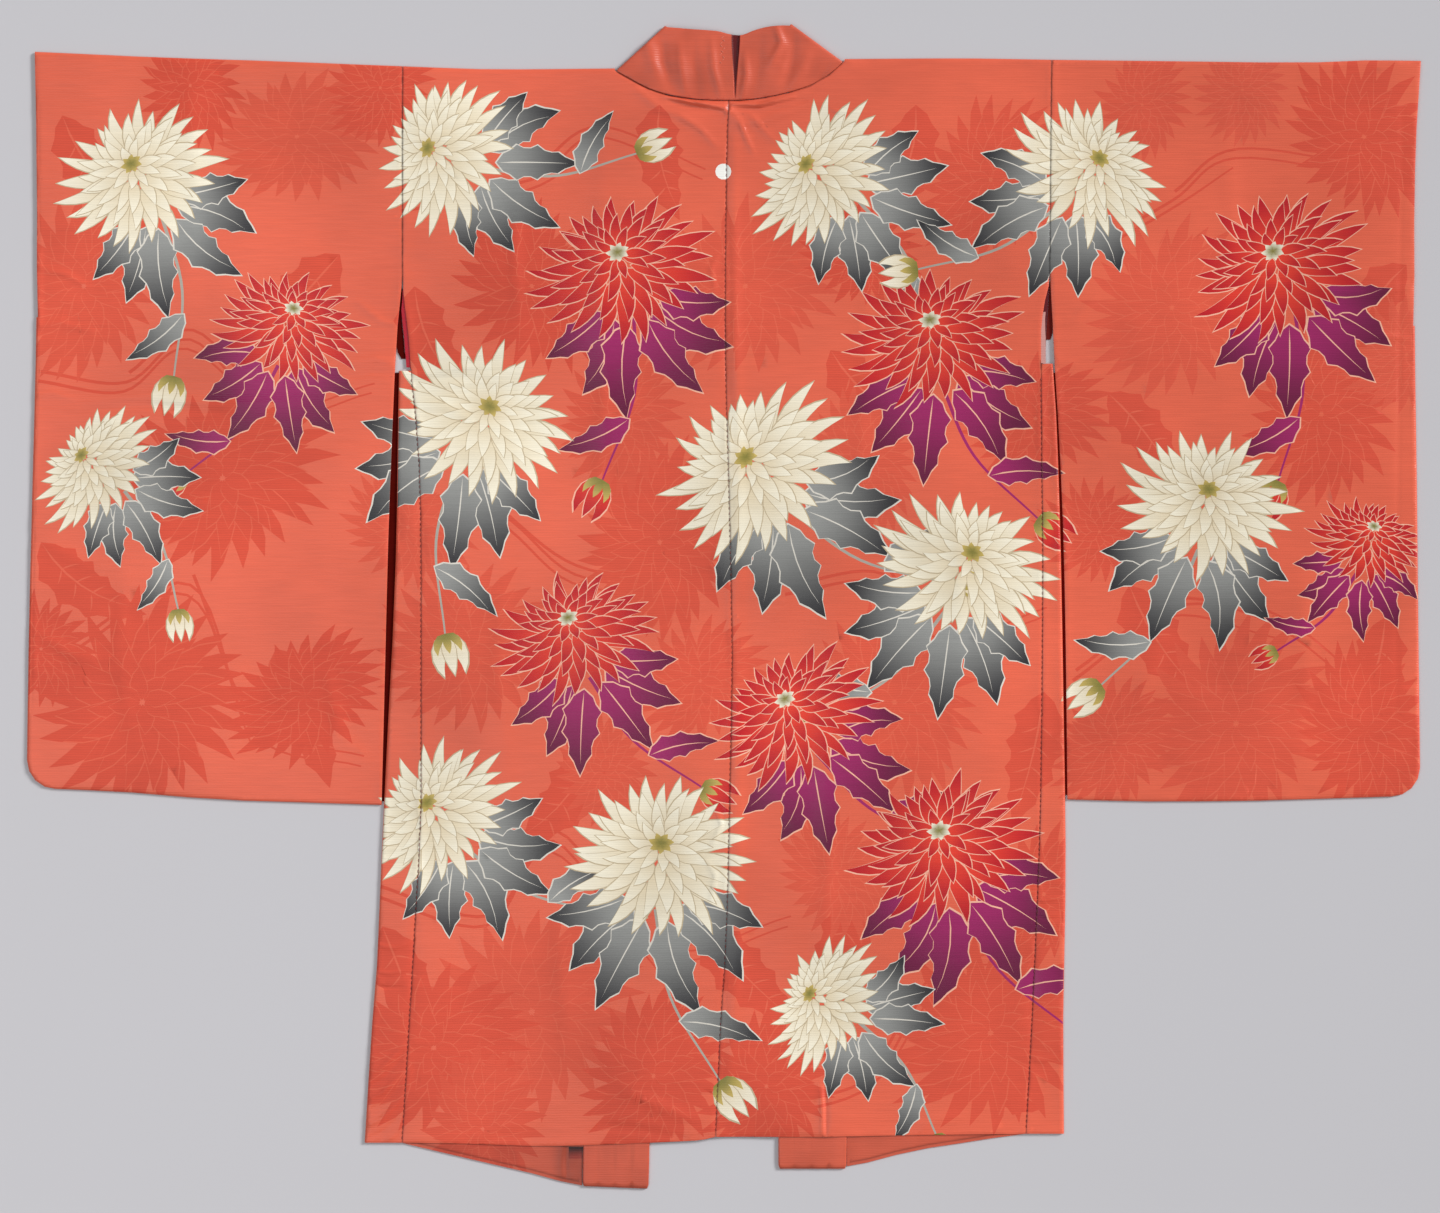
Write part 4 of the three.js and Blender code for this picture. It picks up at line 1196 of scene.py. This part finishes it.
def top_tone(plan, seam_gap, free_gap):
    """Seams lie in a little shade: most at the armholes and least down the back."""
    x, y = plan.T
    armhole = (np.abs(x) > BODY_EDGE - 16) & (y > UNDERARM[0])
    shade = np.where(armhole, ARMHOLE_SHADE, np.where(y < NECK_FOOT, BACK_SEAM_SHADE, NECK_SHADE))
    return mix(shade, 1.0, smooth(0, 1.3, seam_gap))


def hem_line(free_gap):
    """1 on the sewn line of the facing, and 0 away from it."""
    return np.exp(-((free_gap - HEM_LINE) / 0.7) ** 2)


def facing_relief(plan, seam_gap, free_gap):
    folds = crease_height(plan, FACING_CREASES) + 0.2 * value_noise(*plan.T, 22, 8)
    return folds * smooth(0, 6, np.minimum(seam_gap, free_gap)) - 0.25 * hem_line(free_gap)


def facing_painted_shade(plan, seam_gap, free_gap):
    """Painted shade: darker than the outside, as it lies under the back, most of all towards the left end of
    the band by the painted shadow there; the sewn line darker still.
    """
    x, y = plan.T
    # painted shadow towards the gap beside the left end of the band
    depth = smooth(-165, -150, x) * smooth(-125, -135, x)
    return (FACING_PAINTED_SHADE - 0.22 * depth + 0.07 * value_noise(x, y, 16, 12)) * (1 - 0.5 * hem_line(free_gap))


def no_relief(plan, seam_gap, free_gap):
    return np.zeros(len(plan))


def even_tone(plan, seam_gap, free_gap):
    return np.ones(len(plan))


def coral_ground(spots):
    return np.tile(CORAL, (len(spots), 1))


def facing_ground(spots):
    """Outer silk at the hem, lining above it."""
    share = smooth(HEM_FACING + 2, HEM_FACING - 2, spots[:, 1])[:, None]
    rolled = (smooth(UNDERARM[0] - 4, UNDERARM[0], spots[:, 1]) * (spots[:, 0] < LEFT_SIDE))[:, None]
    return mix(mix(np.array(LINING), np.array(CRIMSON_ROLLED), rolled), np.array(CORAL), share)


def plain_colour(normal, middle, sewn):
    """The edges and hidden faces: outer silk outside, lining inside, and lining in the depth of a seam, dark
    as painted shade.
    """
    wall = abs(normal[2]) < FLAT_TOP
    if wall and not sewn and UNDERARM[0] < middle[1] < UNDERARM[1] and abs(middle[0]) < BODY_EDGE:
        if middle[0] < 0:
            return CRIMSON_ROLLED
        return LINING_PINK if middle[1] < UNDERARM_PINK else LINING
    ceiling = normal[2] < -FLAT_TOP and middle[2] > FRONT_FACE / 2
    inside_front = normal[2] > FLAT_TOP and middle[2] < BACK_ABOVE
    return LINING if sewn or ceiling or inside_front else CORAL


def painted_recess_shadow():
    """A painted shadow in the gap beside the left end of the band, from shaded coral at its lower edge to
    near black at its upper edge.
    """
    x0, x1, y0, y1 = RECESS
    corners = [(x0, y0), (x1, y0), (x1, y1), (x0, y1)]
    return with_corners([shape(corners, (x0, y0 + 1), (x0, y1), CORAL_PAINTED_SHADE, RECESS_PAINTED_SHADOW)])


def panels(shapes, hidden_shapes, material, seams):
    """The two halves of the body, the sleeves and the gussets, each a closed shell of silk."""
    facing_shapes = [s for s in shapes if s["figure"] and s["low_corner"][1] < HEM_FACING] + painted_recess_shadow()
    patches = table(
        "choose shapes relief roll ground tone rings creases fine_below below hems_only",
        (top_faces, shapes, top_relief, 1, coral_ground, top_tone, (ROLL, 3 * ROLL), CREASES, math.inf,
         False, False),
        (under_faces, hidden_shapes, no_relief, 0, coral_ground, even_tone, (), (), -math.inf, True, False),
        (facing_faces, facing_shapes, facing_relief, 0, facing_ground, facing_painted_shade, FACING_RINGS,
         FACING_CREASES, HEM_FACING, False, True))
    for patch in patches:
        patch["sides"] = visible_sides(patch["shapes"])
    made = {}
    for name in ("body_left", "body_right", "sleeve_left", "sleeve_right", "gusset_left", "gusset_right"):
        faced = name.startswith("body")
        made[name] = dress(name, material, patches if faced else patches[:2], plain_colour, seams)
    return made


def rounded_collar():
    """The folded band's solid with its flat faces joined and its facets rounded, and its long edges crisp."""
    points, triangles = solid_of("collar")
    work = bmesh.new()
    vertices = [work.verts.new([c * MM for c in p]) for p in points]
    for t in triangles:
        work.faces.new([vertices[i] for i in t])
    bmesh.ops.join_triangles(work, faces=work.faces, angle_face_threshold=0.6, angle_shape_threshold=1.2)
    crease = work.edges.layers.float.new("crease_edge")
    for edge in work.edges:
        edge[crease] = 0.8 if edge.calc_face_angle(0) > RIM_ANGLE else 0
    made = placed("collar_silk", mesh_of(work, "collar_silk"))
    rounding = made.modifiers.new("rounding", "SUBSURF")
    rounding.levels = 3
    made.data = bpy.data.meshes.new_from_object(made.evaluated_get(bpy.context.evaluated_depsgraph_get()))
    made.modifiers.clear()
    return made


def collar_colours(plan, shapes):
    """The colour of the band at some plan points, with painted shade and sheen, and where a woven figure
    shows.
    """
    x, y = plan.T
    # painted sheen: broad lighter and darker patches on the satin band
    patches = value_noise(x, y, 26, 14) + 0.5 * value_noise(x, y * 0.5, 11, 15)
    # painted shade darkens the whole band
    colours = np.array(CORAL) * (BAND_PAINTED_SHADE * (1 + 0.13 * patches))[:, None]
    figured = np.zeros(len(plan), bool)
    for item in shapes:
        if item["figure"] and item["high_corner"][1] > BAND_FOOT - 22:
            near = np.flatnonzero(((plan > item["low_corner"]) & (plan < item["high_corner"])).all(1))
            figured[near[inside(item["outline"], plan[near])]] = True
    colours[figured] *= np.array(CORAL_FIGURE) / np.array(CORAL)
    # painted shade: the V of the pleat darkens towards deep red, for the shade in its groove
    climb = smooth(*PLEAT_Y, y)
    half, middle = mix(*PLEAT_HALF, climb), mix(*PLEAT_X, climb)
    pleat = smooth(half + 0.7, half - 0.5, np.abs(x - middle)) * smooth(PLEAT_Y[0] - 4, PLEAT_Y[0] + 4, y)
    return mix(colours, np.array(PLEAT_PAINTED_SHADE), pleat[:, None]), figured


def collar(shapes, material):
    """The folded band, creased at the neck."""
    made = rounded_collar()
    mesh = made.data
    places = np.array([v.co[:] for v in mesh.vertices]) / MM
    plan, height = places[:, :2], places[:, 2]
    facing_up = np.clip(np.array([v.normal[:] for v in mesh.vertices])[:, 2], 0, 1)
    folds = crease_height(plan, CREASES) + 0.2 * value_noise(*plan.T, 9, 9)
    neck = smooth(BAND_TOP, BAND_TOP + 0.6, height) * smooth(BAND_FOOT, BAND_FOOT + 14, plan[:, 1])
    for vertex, rise in zip(mesh.vertices, folds * neck * facing_up):
        vertex.co.z += rise * MM
    colours, figured = collar_colours(plan, shapes)
    paint(mesh, colours[[loop.vertex_index for loop in mesh.loops]],
          [figured[p.vertices[0]] for p in mesh.polygons])
    for polygon in mesh.polygons:
        polygon.use_smooth = True
    mesh.materials.clear()
    mesh.materials.append(material)
    return made


def closed_strip(name, left, right, layer, material, colour):
    """A thin strip of cloth between two runs of plan points, from one height of the layer to the other."""
    low, high = layer
    work = bmesh.new()
    tint = work.loops.layers.float_color.new("tint")
    rows = []
    for (x0, y0), (x1, y1) in zip(left, right):
        rows.append([work.verts.new((x * MM, y * MM, z * MM))
                     for x, y, z in ((x0, y0, low), (x1, y1, low), (x1, y1, high), (x0, y0, high))])
    work.faces.new(rows[0])
    work.faces.new(rows[-1][::-1])
    for a, b in zip(rows[:-1], rows[1:]):
        for k in range(4):
            work.faces.new([a[k - 1], b[k - 1], b[k], a[k]])
    bmesh.ops.recalc_face_normals(work, faces=work.faces)
    for face in work.faces:
        for loop in face.loops:
            loop[tint] = (*colour, 1)
    mesh = mesh_of(work, name)
    mesh.materials.append(material)
    return placed(name, mesh)


def side_opening(sleeve, sign, first, last, height):
    """Plan points down a sleeve's inner edge and down the body's edge across from it, at a height."""
    points, triangles = solid_of(sleeve)
    inner = BVHTree.FromPolygons([Vector(p) for p in points], triangles.tolist())
    outer = neighbours_of(sleeve)
    near, far = [], []
    for y in np.arange(first, last, -SIDE_STEP):
        hit = inner.ray_cast(Vector((0, y, height)), Vector((sign, 0, 0)))[0]
        if hit is None:
            continue
        across = outer.ray_cast(Vector((hit.x - sign * 0.05, y, height)), Vector((-sign, 0, 0)))[0]
        if across is None or not OPENING[0] < abs(across.x - hit.x) < OPENING[1]:
            continue
        near.append((hit.x, y))
        far.append((across.x, y))
    return np.array(near), np.array(far)


# the linings beside the sleeves, painted dark for the shade in the gaps: how far down the upper stretch goes,
# and where the roll starts and how wide it is
OPENINGS = table("side sign deep dark dark_until rolled rolled_from width",
    ("left", -1, LINING_PAINTED_SHADE, LINING_PAINTED_SHADE, 228, CRIMSON_ROLLED, 296, 4.2),
    ("right", 1, LINING_PAINTED_SHADE_RIGHT, PAINTED_SHADOW_BROWN, 244, LINING_PINK, 276, 4.4))
ABOVE_UNDERARM = 304


def lining_edges(material, dull):
    """The lining deep in the gap beside each sleeve, painted dark as shade, and the lining rolled out under
    the arms.
    """
    made = []
    for row in OPENINGS:
        sleeve, body, sign = "sleeve_" + row["side"], "body_" + row["side"], row["sign"]

        # lining deep in the gap, painted dark for the shade there
        near, far = side_opening(sleeve, sign, UNDERARM[0] - 2, SLEEVE_FOOT, DEEP_HEIGHT)
        made.append((sleeve, closed_strip(sleeve + "_lining", near, far + (sign * INSIDE_WALL, 0), DEEP_LAYER,
                                          dull, row["deep"])))

        # painted shadow: a dark wedge of lining colour at the top of the gap, narrowing where the floor shows
        # below it
        until = row["dark_until"]
        near, far = side_opening(sleeve, sign, ABOVE_UNDERARM, until, DEEP_HEIGHT)
        near = mix(near, far, (0.6 * smooth(until + 16, until, near[:, 1]))[:, None])
        made.append((sleeve, closed_strip(sleeve + "_painted_shadow_top", near, far + (sign * INSIDE_WALL, 0),
                                          DEEP_LAYER, dull, row["dark"])))

        top = row["rolled_from"]
        near, far = side_opening(sleeve, sign, top, UNDERARM[0] + 1, ROLLED_HEIGHT)
        reach = np.minimum(row["width"], 0.75 * np.abs(far - near)[:, 0])
        tapered = reach * mix(0.55, 1.0, smooth(top, top - 26, near[:, 1]))
        outer = far + np.column_stack([sign * tapered, np.zeros(len(far))])
        made.append((body, closed_strip(body + "_lining", outer, far - (sign * INSIDE_BODY, 0), ROLLED_LAYER,
                                        material, row["rolled"])))
    return made


# sections along a stitch: where as a share of its length, and girth and lift as shares of its thickness
STITCH = table("at girth lift", (-0.42, 0.7, 0.0), (-0.2, 1.0, 0.5), (0.2, 1.0, 0.5), (0.42, 0.7, 0.0))


def stitch(work, at, direction, length, thickness):
    """One stitch: a small rod with pointed ends, a little bowed."""
    ahead = Vector(direction).normalized()
    side = ahead.cross(Vector((0, 0, 1))).normalized()
    rings = []
    for ring in STITCH:
        centre = Vector(at) + ahead * length * ring["at"] + Vector((0, 0, thickness * ring["lift"]))
        rings.append([work.verts.new((centre + (side * math.cos(a) + Vector((0, 0, 1)) * math.sin(a))
                                      * thickness / 2 * ring["girth"]) * MM)
                      for a in (math.pi * k / 3 for k in range(6))])
    ends = [work.verts.new((Vector(at) + ahead * length * t - Vector((0, 0, thickness * 0.4))) * MM)
            for t in (-0.5, 0.5)]
    for k in range(6):
        for a, b in zip(rings[:-1], rings[1:]):
            work.faces.new([a[k - 1], a[k], b[k], b[k - 1]])
        work.faces.new([rings[0][k], rings[0][k - 1], ends[0]])
        work.faces.new([rings[-1][k - 1], rings[-1][k], ends[1]])


def stitches(name, rows, length, thickness, material):
    """Stitches at some places, each with the way it runs."""
    work = bmesh.new()
    for at, direction in rows:
        stitch(work, at, direction, length, thickness)
    bmesh.ops.recalc_face_normals(work, faces=work.faces)
    mesh = mesh_of(work, name)
    for polygon in mesh.polygons:
        polygon.use_smooth = True
    mesh.materials.append(material)
    return placed(name, mesh)


def run_of_stitches(spots, spacing, rng):
    """Even places down a seam, from its own places."""
    spots = spots[np.argsort(-spots[:, 1])]
    rows = []
    for y in np.arange(spots[0, 1] - 3, spots[-1, 1] + 3, -spacing):
        x, z = (np.interp(-y, -spots[:, 1], spots[:, k]) for k in (0, 2))
        rows.append(((x, y + rng.uniform(-0.3, 0.3), z - 0.1), (rng.uniform(-0.08, 0.08), 1, 0)))
    return rows


def sewing(seams, silk_collar):
    """Running stitches in the seams, and a few tacking stitches at the middle of the neck."""
    rng = np.random.default_rng(5)
    dark, pale = thread("seam_thread", SEAM_THREAD), thread("tacking_thread", PALE_THREAD)
    made = []
    centre = seams["body_left"]
    centre = centre[(np.abs(centre[:, 0]) < 12) & (centre[:, 1] < NECK_FOOT)]
    rows = run_of_stitches(centre, 5.2, rng)
    made.append(("body_left", stitches("centre_seam_stitches", rows, 3.0, 0.4, dark)))
    for side in ("left", "right"):
        gusset = seams["gusset_" + side]
        rows = run_of_stitches(gusset[gusset[:, 1] < 216], 5.0, rng)
        made.append(("gusset_" + side, stitches("gusset_stitches_" + side, rows, 3.4, 0.5, dark)))
    surface = BVHTree.FromObject(silk_collar, bpy.context.evaluated_depsgraph_get())
    rows = []
    for k, y in enumerate(np.arange(*TACKING_Y, -2.6)):
        x = TACKING_X + 1.6 * math.sin(k * 1.9)
        hit = surface.ray_cast(Vector((x * MM, y * MM, 0.1)), Vector((0, 0, -1)))[0]
        rows.append(((x, y, hit.z / MM), (1, 0.9 * (-1) ** k, 0)))
    made.append(("collar", stitches("tacking_stitches", rows, 3.0, 0.42, pale)))
    return made


def floor():
    bpy.ops.mesh.primitive_plane_add(size=14, location=(0, 0, -0.0002))
    made = bpy.context.object
    made.name = "floor"
    made.data.materials.append(floor_paper())


def lamp(name, place, size, power):
    """A soft square light that faces the middle of the garment."""
    light = bpy.data.lights.new(name, "AREA")
    light.size = size
    light.energy = power
    made = placed(name, light)
    made.location = place
    made.rotation_euler = (-Vector(place)).to_track_quat("-Z", "Y").to_euler()


def lights():
    """A low key light from the right and above, a soft fill and an even, slightly cool room."""
    sun = bpy.data.lights.new("key", "SUN")
    sun.angle = math.radians(16)
    sun.energy = 3.1
    made = placed("key", sun)
    made.rotation_euler = Vector((-1, -0.5, -0.56)).to_track_quat("-Z", "Y").to_euler()
    lamp("fill", (-1.2, -0.4, 2.8), 2.4, 22)
    world = bpy.data.worlds.new("studio")
    world.use_nodes = True
    room = world.node_tree.nodes["Background"]
    room.inputs["Color"].default_value = (0.95, 0.97, 1.0, 1)
    room.inputs["Strength"].default_value = 0.40
    bpy.context.scene.world = world
    bpy.context.scene.view_settings.view_transform = "Standard"


def camera():
    data = bpy.data.cameras.new("camera")
    data.sensor_width = SENSOR
    data.lens = SENSOR * CAMERA_HEIGHT / (IMAGE_WIDTH * MM_PER_PIXEL)
    made = placed("camera", data)
    made.location = (CAMERA_AT[0] * MM, CAMERA_AT[1] * MM, CAMERA_HEIGHT * MM)
    bpy.context.scene.camera = made


# flat size of each piece of cloth in metres, and the area of its cut
SHEETS = table("name flat area held",
    ("body_left", (0.312, 2.07), 0.49, "laid"), ("body_right", (0.312, 2.07), 0.49, "laid"),
    ("sleeve_left", (0.350, 1.40), 0.48, "laid"), ("sleeve_right", (0.350, 1.40), 0.48, "laid"),
    ("gusset_left", (0.070, 0.722), 0.042, "laid"), ("gusset_right", (0.072, 0.720), 0.032, "laid"),
    ("collar", (0.063, 2.30), 0.130, "folded"))


def build():
    """Dress every solid and add what is sewn on."""
    material = silk()
    shapes = whole_print(True)
    seams = {}
    made = panels(shapes, whole_print(False), material, seams)
    made["collar"] = collar(shapes, material)
    extras = lining_edges(material, lining_silk()) + sewing(seams, made["collar"])
    for sheet in SHEETS:
        name, piece = sheet["name"], made[sheet["name"]]
        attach(piece, "root")
        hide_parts(name)
        print(name, "triangles", sum(len(p.vertices) - 2 for p in piece.data.polygons))
    for owner, extra in extras:
        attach(extra, "root")


camera()
floor()
lights()
build()
